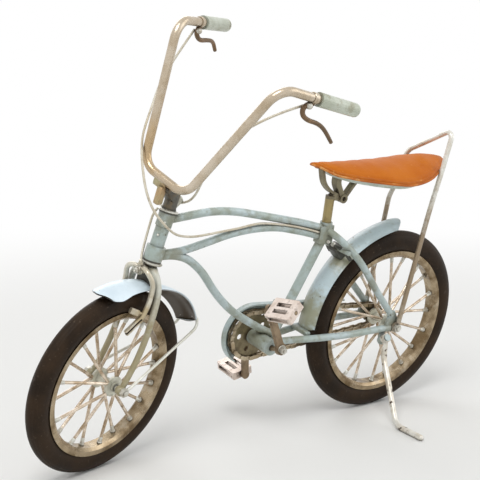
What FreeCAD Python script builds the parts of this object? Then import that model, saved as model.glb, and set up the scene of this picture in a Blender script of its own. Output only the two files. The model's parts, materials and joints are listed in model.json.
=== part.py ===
import FreeCAD, Part
import os
from math import acos, atan2, ceil, cos, degrees, hypot, pi, radians, sin, sqrt, tan

# Small metal model of a high-rise bicycle, parked on its side stand.
# Millimetres. It is built upright, X forward, Y to its left, Z up, with the
# ground at Z = 0 and X = 0 midway between the wheel centres. The front end is
# then turned about the head axis, and the whole model leans onto its stand.

# Wheels and stance
wheelbase = 166.4
rear_wheel_radius = 50.0
front_wheel_radius = 44.0
head_angle = 75.0
fork_offset = 4.3
steer_angle = 16.0
lean_angle = 11.3
running_gap = 0.35

# Tyres and rims
rear_tyre_height = 10.2
rear_tyre_width = 9.6
front_tyre_height = 9.1
front_tyre_width = 8.8
rim_wall = 0.8
rim_depth = 3.6
rim_well = 1.3
tyre_bead_depth = 1.7
spoke_count = 20
spoke_diameter = 1.5
spoke_lead = 14.0
hub_flange_diameter = 9.6
hub_flange_thickness = 1.1
hub_flange_spacing = 10.4
hub_barrel_diameter = 4.4
axle_diameter = 2.4

# Frame tubes
frame_tube_diameter = 3.8
seat_tube_diameter = 4.8
stay_diameter = 3.6
head_tube_diameter = 6.4
head_tube_length = 22.0
fork_crown_gap = 13.46
lug_diameter = 8.6
top_lug_diameter = 7.4
lug_length = 6.4
headset_ring_diameter = 8.0
headset_ring_height = 1.1
bracket_shell_diameter = 8.0
bracket_shell_length = 12.0
bracket_shell_overhang = 3.5
bracket_height = 50.0
bracket_setback = 2.5
seat_tube_length = 59.1
seat_tube_foot_setback = 6.0
seat_tube_lean = 26.2
top_tube_drop = 4.4
cluster_block_length = 8.6
cluster_block_width = 5.4
cluster_block_height = 8.8
dropout_thickness = 1.2
dropout_half_spacing = 10.1
stay_spread = 11.4

# Seat
seat_post_diameter = 4.6
seat_post_length = 18.0
saddle_length = 90.0
saddle_nose_setback = 19.5
saddle_width = 40.0
saddle_rise = 10.0
saddle_depth = 9.8
belly_share = 0.12
pan_width_share = 0.84
saddle_pan_thickness = 1.3
strut_width = 3.4
strut_thickness = 1.5
saddle_eye_diameter = 4.6

# Back bar behind the seat
back_bar_diameter = 2.6
back_bar_spread = 15.0
back_bar_rise = 16.7
back_bar_slope = 18.5
back_bar_foot_thickness = 1.1

# Front end
fork_blade_diameter = 3.0
fork_half_spacing = 9.4
crown_diameter = 5.0
stem_diameter = 5.0
stem_length = 11.1
stem_reach = 9.6
bar_clamp_length = 7.0
bar_clamp_diameter = 6.6
bar_clamp_bolt_diameter = 1.6
cradle_tilt = 29.0
stem_wall = 0.9
bar_diameter = 4.0
bar_clamp_rise = 5.5
bar_base_half_width = 13.2
bar_rise = 59.6
bar_top_half_width = 30.0
bar_end_half_width = 40.0
bar_sweep = 45.0
bar_cant = 13.7
bar_bend_radius = 9.0
grip_diameter = 6.2
grip_length = 23.5
lever_width = 2.8
lever_thickness = 1.1
lever_band_wall = 1.5
brake_arm_diameter = 2.4
cable_diameter = 1.1

# Mudguards
guard_thickness = 0.9
rear_guard_gap = 8.8
rear_guard_drop = 4.8
rear_guard_width = 18.0
rear_guard_start = 4.5
rear_guard_end = 91.0
front_guard_gap = 6.2
front_guard_drop = 3.8
front_guard_width = 18.0
front_guard_start = 70.0
front_guard_end = 150.0
guard_stay_diameter = 1.4
guard_stay_lead = 6.0

# Drive
crank_length = 25.2
left_crank_length = 21.7
crank_angle = 7.5
left_crank_angle = 16.5
left_axle_reach = 16.2
left_axle_lift = 2.4
left_pin_swing = 8.4
left_pin_rise = 13.5
crank_plane = 12.9
crank_thickness = 2.0
crank_boss_diameter = 6.0
crank_tip_diameter = 4.2
chain_line = 7.6
chainwheel_teeth = 26
chainwheel_hole_count = 5
chainwheel_hole_share = 0.6
sprocket_teeth = 12
chain_pitch = 3.0
sprocket_thickness = 0.9
tooth_height = 0.9
chain_plate_thickness = 0.5
chain_plate_height = 2.0
chain_roller_diameter = 1.1
pedal_width = 15.6
pedal_length = 11.4
pedal_height = 4.0
pedal_pin_diameter = 1.8
left_pedal_pitch = -39.5
right_pedal_pitch = -13.5
chain_guard_thickness = 0.8
chain_guard_depth = 4.2
chain_guard_width = 3.0
chain_guard_margin = 1.9

# Side stand
stand_diameter = 3.0
stand_root_ahead = 7.9
stand_root_drop = 4.6
stand_root_offset = 13.6
stand_pin_diameter = 1.8
stand_bow_drop = 11.0
stand_foot_ahead = 17.2
stand_foot_offset = 40.0
stand_toe_length = 20.0

cut_overrun = 1.0
straight_turn = 0.002

origin = FreeCAD.Vector(0, 0, 0)
x_axis = FreeCAD.Vector(1, 0, 0)
y_axis = FreeCAD.Vector(0, 1, 0)
z_axis = FreeCAD.Vector(0, 0, 1)

rear_centre = FreeCAD.Vector(-wheelbase / 2, 0, rear_wheel_radius)
front_centre = FreeCAD.Vector(wheelbase / 2, 0, front_wheel_radius)
head_axis = FreeCAD.Vector(-cos(radians(head_angle)), 0, sin(radians(head_angle)))
head_foot = front_centre - x_axis * fork_offset
head_low = head_foot + head_axis * (front_wheel_radius + fork_crown_gap)
head_high = head_low + head_axis * head_tube_length
stem_top = head_high + head_axis * stem_length
bar_origin = stem_top + head_axis * bar_clamp_rise
bracket_centre = FreeCAD.Vector(-bracket_setback, 0, bracket_height)
rear_guard_radius = rear_wheel_radius + rear_guard_gap
front_guard_radius = front_wheel_radius + front_guard_gap


def point(x, y, z):
    return FreeCAD.Vector(x, y, z)


def on_head_axis(height):
    """Point of the head axis at a height."""
    return head_foot + head_axis * ((height - head_foot.z) / head_axis.z)


def unit(vector):
    return vector / vector.Length


def mirrored(shape):
    """The same piece on the other side of the model's middle plane."""
    return shape.mirror(origin, y_axis)


def fused(shapes):
    """Shapes joined into one, its split faces merged where that holds."""
    joined = shapes[0].fuse(shapes[1:])
    merged = joined.removeSplitter()
    return merged if merged.isValid() else joined


def largest(shape):
    return max(shape.Solids, key=lambda solid: solid.Volume)


def rod(start, end, radius):
    return Part.makeCylinder(radius, (end - start).Length, start, end - start)


def bent_path(points, reach_share=0.48):
    """Straight runs joined by tangent arcs as large as the runs allow."""
    edges = []
    last = points[0]
    for before, corner, after in zip(points, points[1:], points[2:]):
        into = unit(corner - before)
        out = unit(after - corner)
        turn = acos(max(-1.0, min(1.0, into.dot(out))))
        if turn < straight_turn:
            continue
        reach = reach_share * min((corner - before).Length, (after - corner).Length)
        start = corner - into * reach
        end = corner + out * reach
        radius = reach / tan(turn / 2)
        middle_way = unit(out - into)
        centre = corner + middle_way * (radius / cos(turn / 2))
        middle = centre - middle_way * radius
        edges.append(Part.LineSegment(last, start).toShape())
        edges.append(Part.Arc(start, middle, end).toShape())
        last = end
    edges.append(Part.LineSegment(last, points[-1]).toShape())
    return Part.Wire(edges)


def bent_tube(points, radius, reach_share=0.48):
    path = bent_path(points, reach_share)
    direction = points[1] - points[0]
    section = Part.Wire(Part.makeCircle(radius, points[0], direction))
    return path.makePipeShell([section], True, False)


def turned(profile_edges, centre):
    """A closed outline of (radius, side) points, turned about a Y axis."""
    face = Part.Face(Part.Wire(profile_edges))
    ring = face.revolve(origin, y_axis, 360)
    ring.translate(centre)
    return ring


def polygon(points):
    return Part.makePolygon(points + [points[0]])


def ring_section(pairs):
    """Edges of a straight-sided section given as (radius, side) pairs."""
    corners = [point(radius, side, 0) for radius, side in pairs]
    return polygon(corners).Edges


def plate(outline, depth_vector):
    return Part.Face(outline).extrude(depth_vector)


def cross_rod(centre, half_length, radius):
    """A rod across the model, along Y."""
    return rod(centre - y_axis * half_length, centre + y_axis * half_length, radius)


def span_points(start, end, shares):
    """Points along start to end, each lifted by a share of the span."""
    span = end - start
    lift = abs(span.x)
    return [start + span * along + z_axis * (lift * rise) for along, rise in shares]


# Wheels


def tyre(centre, radius, height, width):
    """Round tyre: an upright ellipse cut off where it enters the rim."""
    edge_radius = radius - height
    bead_half = width / 2 - rim_wall - running_gap * 2
    half_width = width / 2
    cut_share = sqrt(1 - (bead_half / half_width) ** 2)
    half_height = height / (1 + cut_share)
    middle = point(radius - half_height, 0, 0)
    ellipse = Part.Ellipse(middle + x_axis * half_height, middle + y_axis * half_width, middle)
    if half_height < half_width:
        ellipse = Part.Ellipse(middle + y_axis * half_width, middle + x_axis * half_height, middle)
    low = point(edge_radius, -bead_half, 0)
    high = point(edge_radius, bead_half, 0)
    start = ellipse.parameter(low)
    end = ellipse.parameter(high)
    crown = Part.ArcOfEllipse(ellipse, start, end).toShape()
    if abs(crown.valueAt(sum(crown.ParameterRange) / 2).x - radius) > height / 2:
        crown = Part.ArcOfEllipse(ellipse, end, start).toShape()
    base_radius = edge_radius - tyre_bead_depth
    base_low = point(base_radius, -bead_half, 0)
    base_high = point(base_radius, bead_half, 0)
    edges = [
        crown,
        Part.LineSegment(low, base_low).toShape(),
        Part.LineSegment(base_low, base_high).toShape(),
        Part.LineSegment(base_high, high).toShape(),
    ]
    return turned(Part.sortEdges(edges)[0], centre)


def rim(centre, radius, height, width):
    """Open channel with rolled edges, thin over the tyre's bead."""
    edge = radius - height
    outer = width / 2 - running_gap * 2
    inner = outer - rim_wall
    well = edge - rim_depth
    shoulder = outer - rim_well
    pairs = [
        (edge, -outer),
        (well + rim_well, -outer),
        (well, -shoulder),
        (well, shoulder),
        (well + rim_well, outer),
        (edge, outer),
        (edge, inner),
        (well + rim_well + rim_wall / 2, inner),
        (well + rim_wall, shoulder - rim_wall / 2),
        (well + rim_wall, rim_wall / 2 - shoulder),
        (well + rim_well + rim_wall / 2, -inner),
        (edge, -inner),
    ]
    return turned(ring_section(pairs), centre)


def hub(centre):
    """Barrel between two flanges, bored for the axle."""
    half = hub_flange_spacing / 2
    barrel = hub_barrel_diameter / 2
    flange = hub_flange_diameter / 2
    bore = axle_diameter / 2 + running_gap
    inner = half - hub_flange_thickness
    end = half + hub_flange_thickness
    pairs = [
        (bore, -end),
        (barrel, -end),
        (barrel, -half),
        (flange, -half),
        (flange, -inner),
        (barrel, -inner),
        (barrel, inner),
        (flange, inner),
        (flange, half),
        (barrel, half),
        (barrel, end),
        (bore, end),
    ]
    return turned(ring_section(pairs), centre)


def spokes(centre, radius, height, width):
    """Straight spokes from the flanges, by turns left and right, to the rim."""
    well = radius - height - rim_depth
    side = hub_flange_spacing / 2 - hub_flange_thickness / 2
    root = hub_flange_diameter / 2
    lead = radians(spoke_lead)
    rods = []
    for index in range(spoke_count):
        angle = 2 * pi * index / spoke_count
        hand = 1 if index % 2 else -1
        lean = lead if index % 4 < 2 else -lead
        start_angle = angle + lean
        start = point(cos(start_angle) * root, hand * side, sin(start_angle) * root)
        end = point(cos(angle) * well, hand * rim_wall, sin(angle) * well)
        rods.append(rod(start, end, spoke_diameter / 2))
    return [shape.translated(centre) for shape in rods]


def trimmed_spokes(centre, radius, height, width, ring, barrel):
    """Each spoke is cut where it meets the rim and its flange."""
    pieces = []
    for shape in spokes(centre, radius, height, width):
        pieces.append(shape.cut(ring.fuse(barrel)).Solids[0])
    return Part.makeCompound(pieces)


def toothed_disc(teeth, centre, side):
    """Toothed disc, its tips clear of the chain that runs round it."""
    root_radius = pitch_radius(teeth) - tooth_height - chain_roller_diameter / 2
    tip_radius = root_radius + tooth_height
    step = 2 * pi / teeth
    corners = []
    for index in range(teeth):
        flanks = ((-0.30, root_radius), (-0.12, tip_radius), (0.12, tip_radius), (0.30, root_radius))
        for share, radius in flanks:
            angle = step * (index + share)
            corners.append(centre + point(cos(angle) * radius, 0, sin(angle) * radius))
    disc = plate(polygon(corners), y_axis * sprocket_thickness)
    disc.translate(y_axis * (side - sprocket_thickness / 2))
    return disc


def pitch_radius(teeth):
    return chain_pitch / (2 * sin(pi / teeth))


def wheel_nodes(name, centre, radius, height, width):
    ring = rim(centre, radius, height, width)
    barrel = hub(centre)
    return {
        name + "_tyre": tyre(centre, radius, height, width),
        name + "_rim": ring,
        name + "_hub": barrel,
        name + "_spokes": trimmed_spokes(centre, radius, height, width, ring, barrel),
    }


def rear_sprocket():
    disc = toothed_disc(sprocket_teeth, rear_centre, -chain_line)
    hub_end = hub_flange_spacing / 2 + hub_flange_thickness
    inner = rear_centre - y_axis * (chain_line - sprocket_thickness / 2)
    carrier = rod(rear_centre - y_axis * hub_end, inner, hub_barrel_diameter / 2)
    bore = cross_rod(rear_centre, chain_line + cut_overrun, axle_diameter / 2 + running_gap)
    return fused([disc, carrier]).cut(bore)


# Frame

seat_foot = point(bracket_centre.x - seat_tube_foot_setback, 0, bracket_height)
seat_way = point(-sin(radians(seat_tube_lean)), 0, cos(radians(seat_tube_lean)))
cluster = seat_foot + seat_way * seat_tube_length
post_top = cluster + z_axis * seat_post_length


def head_tube():
    """Tube with a wide lug at each end, bored for the steerer."""
    body = rod(head_low, head_high, head_tube_diameter / 2)
    low_lug = rod(head_low, head_low + head_axis * lug_length, lug_diameter / 2)
    high_lug = rod(head_high - head_axis * lug_length, head_high, top_lug_diameter / 2)
    start = head_low - head_axis * cut_overrun
    bore = rod(start, head_high + head_axis * cut_overrun, stem_diameter / 2 + running_gap)
    return fused([body, low_lug, high_lug]).cut(bore)


def head_core():
    """What the frame tubes are cut back to at the head."""
    low = rod(head_low, head_low + head_axis * lug_length, lug_diameter / 2)
    high = rod(head_high - head_axis * lug_length, head_high, top_lug_diameter / 2)
    return low.fuse(high)


top_tube_shares = [(0, 0), (0.12, 0.028), (0.26, 0.060), (0.40, 0.066), (0.62, 0.047), (0.86, 0.024), (1, 0)]
low_tube_shares = [
    (0, 0),
    (0.14, 0.003),
    (0.27, 0.032),
    (0.41, 0.068),
    (0.55, 0.083),
    (0.69, 0.079),
    (0.88, 0.036),
    (1, 0),
]
down_tube_shares = [
    (0, 0),
    (0.14, 0.0),
    (0.25, 0.05),
    (0.365, 0.19),
    (0.503, 0.468),
    (0.641, 0.674),
    (0.846, 0.871),
    (1, 1),
]


def top_tube():
    start = head_high - head_axis * (lug_length * 0.59)
    end = cluster + z_axis * (top_tube_drop / 2)
    shape = bent_tube(span_points(start, end, top_tube_shares), frame_tube_diameter / 2)
    return largest(shape.cut(head_core()).cut(cluster_core()))


def low_tube():
    start = head_low + head_axis * (lug_length * 0.32)
    end = cluster - z_axis * (top_tube_drop / 2)
    shape = bent_tube(span_points(start, end, low_tube_shares), frame_tube_diameter / 2)
    return largest(shape.cut(head_core()).cut(cluster_block_solid()))


def down_tube():
    start = head_low + head_axis * (lug_length * 0.165)
    end = seat_foot + z_axis * (bracket_shell_diameter / 2 - seat_tube_diameter / 4)
    span = end - start
    points = [start + point(span.x * along, 0, span.z * drop) for along, drop in down_tube_shares]
    shape = bent_tube(points, frame_tube_diameter / 2)
    shape = shape.cut(head_core()).cut(bracket_shell()).cut(seat_tube_solid())
    below = low_tube()
    return largest(shape.cut(below))


def seat_tube_solid():
    return rod(seat_foot, cluster, seat_tube_diameter / 2)


def seat_tube():
    shape = seat_tube_solid().cut(bracket_shell()).cut(cluster_block_solid())
    return shape.Solids[0]


def cluster_block_solid():
    """Square block that clamps both frame tubes to the seat tube."""
    block = Part.makeBox(cluster_block_length, cluster_block_width, cluster_block_height)
    corner = point(-cluster_block_length * 0.42, -cluster_block_width / 2, -cluster_block_height / 2)
    block.translate(corner + cluster)
    upright = [edge for edge in block.Edges if edge.BoundBox.ZLength > cluster_block_height / 2]
    return block.makeFillet(cluster_block_width / 8, upright)


def cluster_core():
    """The block with the collar that grips the seat post."""
    collar_end = point(cluster.x, 0, cluster.z + cluster_block_height / 2 + seat_post_diameter / 3)
    collar = rod(cluster, collar_end, seat_post_diameter / 2 + rim_wall)
    return cluster_block_solid().fuse(collar)


def cluster_block():
    socket = rod(cluster, post_top, seat_post_diameter / 2)
    return cluster_core().cut(socket).removeSplitter()


def bracket_shell():
    right_end = bracket_centre - y_axis * (bracket_shell_length / 2)
    return rod(right_end, bracket_centre + y_axis * shell_left_end(), bracket_shell_diameter / 2)


def shell_left_end():
    return bracket_shell_length / 2 + bracket_shell_overhang


def bottom_bracket():
    bore = cross_rod(bracket_centre, bracket_shell_length, axle_diameter / 2 + running_gap)
    return bracket_shell().cut(bore)


def chain_stay():
    height = bracket_height
    inner = bracket_shell_length / 2 - stay_diameter / 2
    end_x = rear_centre.x + stay_diameter
    run = end_x - bracket_centre.x
    shares = [(0.0, 0), (0.17, 0.05), (0.40, 0.66), (0.62, 0.98), (0.80, 1.0), (1.0, 1.0)]
    reach = dropout_half_spacing + dropout_thickness / 2 - inner
    points = [point(bracket_centre.x + run * along, inner + reach * out, height) for along, out in shares]
    shape = bent_tube(points, stay_diameter / 2)
    core = cross_rod(bracket_centre, bracket_shell_length, bracket_shell_diameter / 2)
    return shape.cut(core).cut(seat_tube_solid())


def seat_stay():
    start = cluster + point(0, cluster_block_width / 3, cluster_block_height / 4)
    foot_y = dropout_half_spacing + dropout_thickness / 2
    end = point(rear_centre.x + stay_diameter, foot_y, rear_centre.z + stay_diameter * 2)
    span = end - start
    shares = [
        (0, 0, 0),
        (0.13, 0.60, 0.10),
        (0.33, 1.0, 0.285),
        (0.51, 1.0, 0.478),
        (0.69, 1.0, 0.69),
        (1, 1, 1),
    ]
    spread = stay_spread - start.y
    points = []
    for along, out, drop in shares:
        side = start.y + spread * out
        if along == 1:
            side = end.y
        points.append(point(start.x + span.x * along, side, start.z + span.z * drop))
    shape = bent_tube(points, stay_diameter / 2)
    return shape.cut(cluster_block()).cut(seat_tube_solid()).cut(top_tube())


def dropout():
    """Flat plate that joins both stays and carries the axle."""
    side = dropout_half_spacing
    height = stay_diameter * 2.6
    corners = [
        point(rear_centre.x + stay_diameter * 1.9, side, rear_centre.z - stay_diameter / 2),
        point(rear_centre.x + stay_diameter * 1.9, side, rear_centre.z + stay_diameter / 2),
        point(rear_centre.x + stay_diameter * 1.4, side, rear_centre.z + height),
        point(rear_centre.x + stay_diameter * 0.5, side, rear_centre.z + height),
        point(rear_centre.x - axle_diameter, side, rear_centre.z + axle_diameter),
        point(rear_centre.x - axle_diameter, side, rear_centre.z - axle_diameter * 1.2),
    ]
    shape = plate(polygon(corners), y_axis * dropout_thickness)
    hole = cross_rod(rear_centre, side + dropout_thickness + cut_overrun, axle_diameter / 2)
    return shape.cut(hole)


def lower_stay(hand):
    """Chain stay with the dropout that carries the axle."""
    hole = cross_rod(rear_centre, stay_spread + stay_diameter, axle_diameter / 2)
    shape = largest(fused([chain_stay(), dropout()]).cut(hole))
    return shape if hand > 0 else mirrored(shape)


def upper_stay(hand):
    """Seat stay, brazed on top of the dropout."""
    shape = largest(seat_stay().cut([chain_stay(), dropout()]))
    return shape if hand > 0 else mirrored(shape)


def rear_triangle(hand):
    """Both stays of one side, for what seats against them."""
    return Part.makeCompound([lower_stay(hand), upper_stay(hand)])


def rear_axle():
    half = dropout_half_spacing + dropout_thickness + back_bar_foot_thickness + axle_diameter
    shaft = cross_rod(rear_centre, half, axle_diameter / 2)
    nuts = []
    start = dropout_half_spacing + dropout_thickness + back_bar_foot_thickness
    for hand in (1, -1):
        place = rear_centre + y_axis * (hand * start)
        nuts.append(hexagon(place, y_axis * (hand * axle_diameter * 0.7), axle_diameter * 0.95))
    return fused([shaft] + nuts)


def hexagon(centre, length_vector, radius):
    corners = []
    for index in range(6):
        angle = pi * index / 3
        corners.append(centre + point(cos(angle) * radius, 0, sin(angle) * radius))
    return plate(polygon(corners), length_vector)


def seat_post():
    shape = rod(cluster, post_top, seat_post_diameter / 2)
    return largest(shape.cut(seat_tube_solid()))


# Seat

nose_x = -saddle_nose_setback
tail_x = nose_x - saddle_length
saddle_waist_height = post_top.z + saddle_rise
back_bar_top_height = saddle_waist_height + saddle_depth + back_bar_rise


saddle_table_shares = [
    (0.005, 0.035, 0.80, 0.90),
    (0.050, 0.14, 0.68, 0.92),
    (0.100, 0.33, 0.46, 0.91),
    (0.205, 0.55, 0.27, 0.88),
    (0.360, 0.775, 0.11, 0.87),
    (0.450, 0.92, 0.05, 0.88),
    (0.560, 1.0, 0.0, 0.90),
    (0.650, 0.985, 0.09, 0.95),
    (0.740, 0.88, 0.25, 0.99),
    (0.805, 0.73, 0.39, 1.0),
    (0.870, 0.54, 0.49, 1.0),
    (0.940, 0.33, 0.56, 0.93),
    (0.985, 0.15, 0.60, 0.80),
    (0.998, 0.05, 0.62, 0.70),
]


def saddle_value(along, column):
    """A column of the seat's table, read between its stations."""
    rows = saddle_table_shares
    for low, high in zip(rows, rows[1:]):
        if along <= high[0]:
            share = (along - low[0]) / (high[0] - low[0])
            return low[column] + (high[column] - low[column]) * max(0.0, share)
    return rows[-1][column]


def saddle_edge(along):
    """Left edge of the seat at a share of its length."""
    x = nose_x + (tail_x - nose_x) * along
    half = saddle_value(along, 1) * saddle_width / 2
    height = saddle_waist_height + saddle_value(along, 2) * saddle_depth
    return point(x, half, height)


def saddle_section(along):
    """Closed section across the seat: arched on top, nearly flat below."""
    left = saddle_edge(along)
    right = point(left.x, -left.y, left.z)
    top = saddle_waist_height + saddle_value(along, 3) * saddle_depth
    crown = Part.Arc(left, point(left.x, 0, top), right).toShape()
    belly_height = left.z + (top - left.z) * belly_share
    belly = Part.Arc(right, point(left.x, 0, belly_height), left).toShape()
    return Part.Wire([crown, belly])


def saddle():
    """Long seat: narrow raised nose, broad low waist, raised round tail."""
    sections = [saddle_section(row[0]) for row in saddle_table_shares]
    return Part.makeLoft(sections, True, False)


def pan_section(along):
    edge = saddle_edge(along)
    half = edge.y * pan_width_share
    top = edge.z + saddle_pan_thickness / 4
    bottom = edge.z - saddle_pan_thickness
    taper = saddle_pan_thickness / 2
    left = point(edge.x, half, top)
    right = point(edge.x, -half, top)
    return polygon([left, right, point(edge.x, taper - half, bottom), point(edge.x, half - taper, bottom)])


def saddle_pan():
    """Shallow metal pan under the seat."""
    sections = [pan_section(row[0]) for row in saddle_table_shares[2:-3]]
    return largest(Part.makeLoft(sections, True, True).cut(saddle()))


def saddle_bracket():
    """Bored clamp behind the post, with three straps up to the seat."""
    eye_centre = post_top + point(-seat_post_diameter * 1.55, 0, -seat_post_diameter * 0.02)
    eye = cross_rod(eye_centre, strut_width * 0.75, saddle_eye_diameter / 2)
    cap = rod(post_top, post_top + z_axis * strut_thickness, seat_post_diameter / 2)
    neck = Part.makeBox(seat_post_diameter * 1.5, strut_width, strut_thickness * 2)
    neck.translate(eye_centre + point(0, -strut_width / 2, -strut_thickness * 0.5))
    front_top = saddle_under(0.080)
    middle_top = saddle_under(0.205)
    rear_top = saddle_under(0.365)
    joint = eye_centre + point(seat_post_diameter * 0.55, 0, strut_thickness)
    drop = saddle_rise
    front = [
        front_top,
        front_top - point(drop * 0.20, 0, drop * 0.70),
        front_top - point(drop * 0.62, 0, drop * 1.12),
        joint,
    ]
    middle = [middle_top, middle_top - point(-drop * 0.10, 0, drop * 0.45), joint - x_axis * strut_thickness]
    rear = [rear_top, rear_top - point(-drop * 0.40, 0, drop * 0.42), eye_centre - x_axis * strut_thickness]
    straps = [strip(front, strut_width, strut_thickness)]
    straps.append(strip(middle, strut_width * 1.3, strut_thickness * 1.8))
    straps.append(strip(rear, strut_width, strut_thickness))
    bore = cross_rod(eye_centre, seat_post_diameter, saddle_eye_diameter * 0.24)
    shape = fused([eye, cap, neck] + straps).cut(bore)
    return largest(shape.cut([saddle(), saddle_pan(), seat_post()]))


def saddle_under(along):
    edge = saddle_edge(along)
    return point(edge.x, 0, edge.z)


def strip(points, width, thickness):
    """Flat strip standing across Y, bent along points in the XZ plane."""
    path = bent_path(points)
    way = unit(points[1] - points[0])
    side = y_axis * (width / 2)
    up = unit(way.cross(y_axis)) * (thickness / 2)
    start = points[0]
    section = polygon([start + side + up, start - side + up, start - side - up, start + side - up])
    return path.makePipeShell([section], True, False)


# Back bar


def back_bar():
    """Rod from the axle ends up behind the seat; its top slopes down to the right."""
    rise = back_bar_top_height - rear_centre.z
    legs = []
    for hand, top in ((1, rise), (-1, rise - back_bar_slope)):
        foot = foot_side(hand) + y_axis * (hand * (back_bar_diameter / 2 + running_gap))
        spread = hand * back_bar_spread
        legs.append(
            [
                foot,
                point(foot.x - rise * 0.062, spread, foot.z + rise * 0.60),
                point(foot.x - rise * 0.104, spread, foot.z + rise * 0.82 * top / rise),
                point(foot.x - rise * 0.132, spread, foot.z + top),
            ]
        )
    route = legs[0] + legs[1][::-1]
    loop = bent_tube(route, back_bar_diameter / 2, 0.28)
    hole = cross_rod(rear_centre, back_bar_spread * 2, axle_diameter / 2)
    pieces = [loop]
    room = []
    for hand in (1, -1):
        start = foot_side(hand)
        thick = y_axis * (hand * back_bar_foot_thickness)
        pieces.append(rod(start, start + thick, back_bar_diameter * 1.1))
        room.append(rod(start + thick, start + thick * 6, back_bar_diameter * 1.3))
        room.append(rod(start - thick * 3, start, back_bar_diameter * 1.3))
    return largest(fused(pieces).cut(hole).cut(room))


def foot_side(hand):
    return rear_centre + y_axis * (hand * (dropout_half_spacing + dropout_thickness))


# Mudguards


def guard_arc(radius, drop, width, thickness):
    """Curved section across a mudguard, as (radius, side) edges."""
    half = width / 2
    outer = Part.Arc(point(radius - drop, -half, 0), point(radius, 0, 0), point(radius - drop, half, 0))
    inner_half = half - thickness * 0.6
    low = radius - drop
    inner = Part.Arc(point(low, inner_half, 0), point(radius - thickness, 0, 0), point(low, -inner_half, 0))
    return [
        outer.toShape(),
        Part.LineSegment(point(low, half, 0), point(low, inner_half, 0)).toShape(),
        inner.toShape(),
        Part.LineSegment(point(low, -inner_half, 0), point(low, -half, 0)).toShape(),
    ]


def guard(centre, edges, start_angle, end_angle):
    face = Part.Face(Part.Wire(edges))
    shape = face.revolve(origin, y_axis, -(end_angle - start_angle))
    shape.rotate(origin, y_axis, -start_angle)
    shape.translate(centre)
    return shape


def rear_mudguard():
    """Guard with its right skirt cut away where the chain passes."""
    edges = guard_arc(rear_guard_radius, rear_guard_drop, rear_guard_width, guard_thickness)
    shape = guard(rear_centre, edges, rear_guard_start, rear_guard_end)
    notch_size = rear_guard_width
    notch = Part.makeBox(notch_size * 2, notch_size, notch_size)
    top = rear_centre.z + rear_guard_radius * 0.255
    notch_x = rear_centre.x + rear_wheel_radius * 0.7
    notch.translate(point(notch_x, -notch_size - chain_line * 0.55, top - notch_size))
    return largest(shape.cut(notch))


front_guard_plan_shares = [
    (0.0, 0.05),
    (0.09, 0.52),
    (0.20, 0.96),
    (0.31, 0.93),
    (0.50, 0.72),
    (0.80, 0.68),
    (0.95, 0.60),
    (1.01, 0.30),
]


def front_mudguard():
    """Short guard, in plan a leaf: pointed front, wide lobe, narrow waist, round tail."""
    edges = guard_arc(front_guard_radius, front_guard_drop, front_guard_width, guard_thickness)
    shell = guard(front_centre, edges, front_guard_start, front_guard_end)
    front_x = front_centre.x + front_guard_radius * cos(radians(front_guard_start))
    back_x = front_centre.x + front_guard_radius * cos(radians(front_guard_end))
    base = front_centre.z
    half = front_guard_width / 2
    span = back_x - front_x
    left = [point(front_x + span * along, half * out, base) for along, out in front_guard_plan_shares]
    right = [point(p.x, -p.y, p.z) for p in reversed(left)]
    outline = []
    for points in (left, right):
        curve = Part.BSplineCurve()
        curve.interpolate(points)
        outline.append(curve.toShape())
    outline.append(Part.LineSegment(left[-1], right[0]).toShape())
    outline.append(Part.LineSegment(right[-1], left[0]).toShape())
    leaf = Part.Face(Part.Wire(Part.sortEdges(outline)[0])).extrude(z_axis * (front_guard_radius * 2))
    return largest(shell.common(leaf))


def guard_bridge():
    """Cross pieces that hold the rear mudguard between the stays."""
    angle = radians(48)
    radius = rear_guard_radius + stay_diameter / 2 + running_gap / 2
    centre = rear_centre + point(cos(angle) * radius, 0, sin(angle) * radius)
    upper = cross_rod(centre, stay_spread, stay_diameter / 3)
    shape = upper.cut(rear_triangle(1)).cut(rear_triangle(-1)).cut(rear_mudguard())
    return largest(shape)


# Front end


def steerer():
    """Steerer, crown and both blades of the fork."""
    low = head_low - head_axis * headset_ring_height
    crown_centre = low - head_axis * (crown_diameter / 2)
    shaft = rod(crown_centre, stem_top, stem_diameter / 2)
    crown = cross_rod(crown_centre, crown_diameter / 2, crown_diameter / 2)
    blades = []
    for hand in (1, -1):
        shape = fork_blade(crown_centre)
        blades.append(shape if hand > 0 else mirrored(shape))
    hole = cross_rod(front_centre, fork_half_spacing * 2, axle_diameter / 2)
    return fused([shaft, crown] + blades).cut(hole)


def fork_blade(crown_centre):
    side = fork_half_spacing
    drop = crown_centre.z - front_centre.z
    shares = [
        (0.0, 0.10, 0.0),
        (0.0, 0.62, 0.025),
        (-0.03, 1.0, 0.20),
        (-0.055, 1.0, 0.47),
        (0.02, 1.0, 0.73),
        (0.20, 1.0, 0.95),
        (0.345, 1.0, 1.0),
    ]
    points = []
    for ahead, out, down in shares:
        points.append(point(crown_centre.x + drop * ahead, side * out, crown_centre.z - drop * down))
    half = y_axis * (fork_blade_diameter / 2)
    middle = front_centre + y_axis * side
    tip = rod(middle - half, middle + half, axle_diameter * 1.2)
    return fused([bent_tube(points, fork_blade_diameter / 2), tip])


def headset_rings():
    """Upper and lower bearing rings, which turn with the steerer."""
    rings = []
    low = head_low - head_axis * headset_ring_height
    for start in (low, head_high + head_axis * (running_gap / 2)):
        top = start + head_axis * (headset_ring_height - running_gap / 2)
        ring = rod(start, top, headset_ring_diameter / 2)
        core = rod(start - head_axis * cut_overrun, top + head_axis * cut_overrun, stem_diameter / 2)
        rings.append(ring.cut(core))
    return Part.makeCompound(rings)


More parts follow.
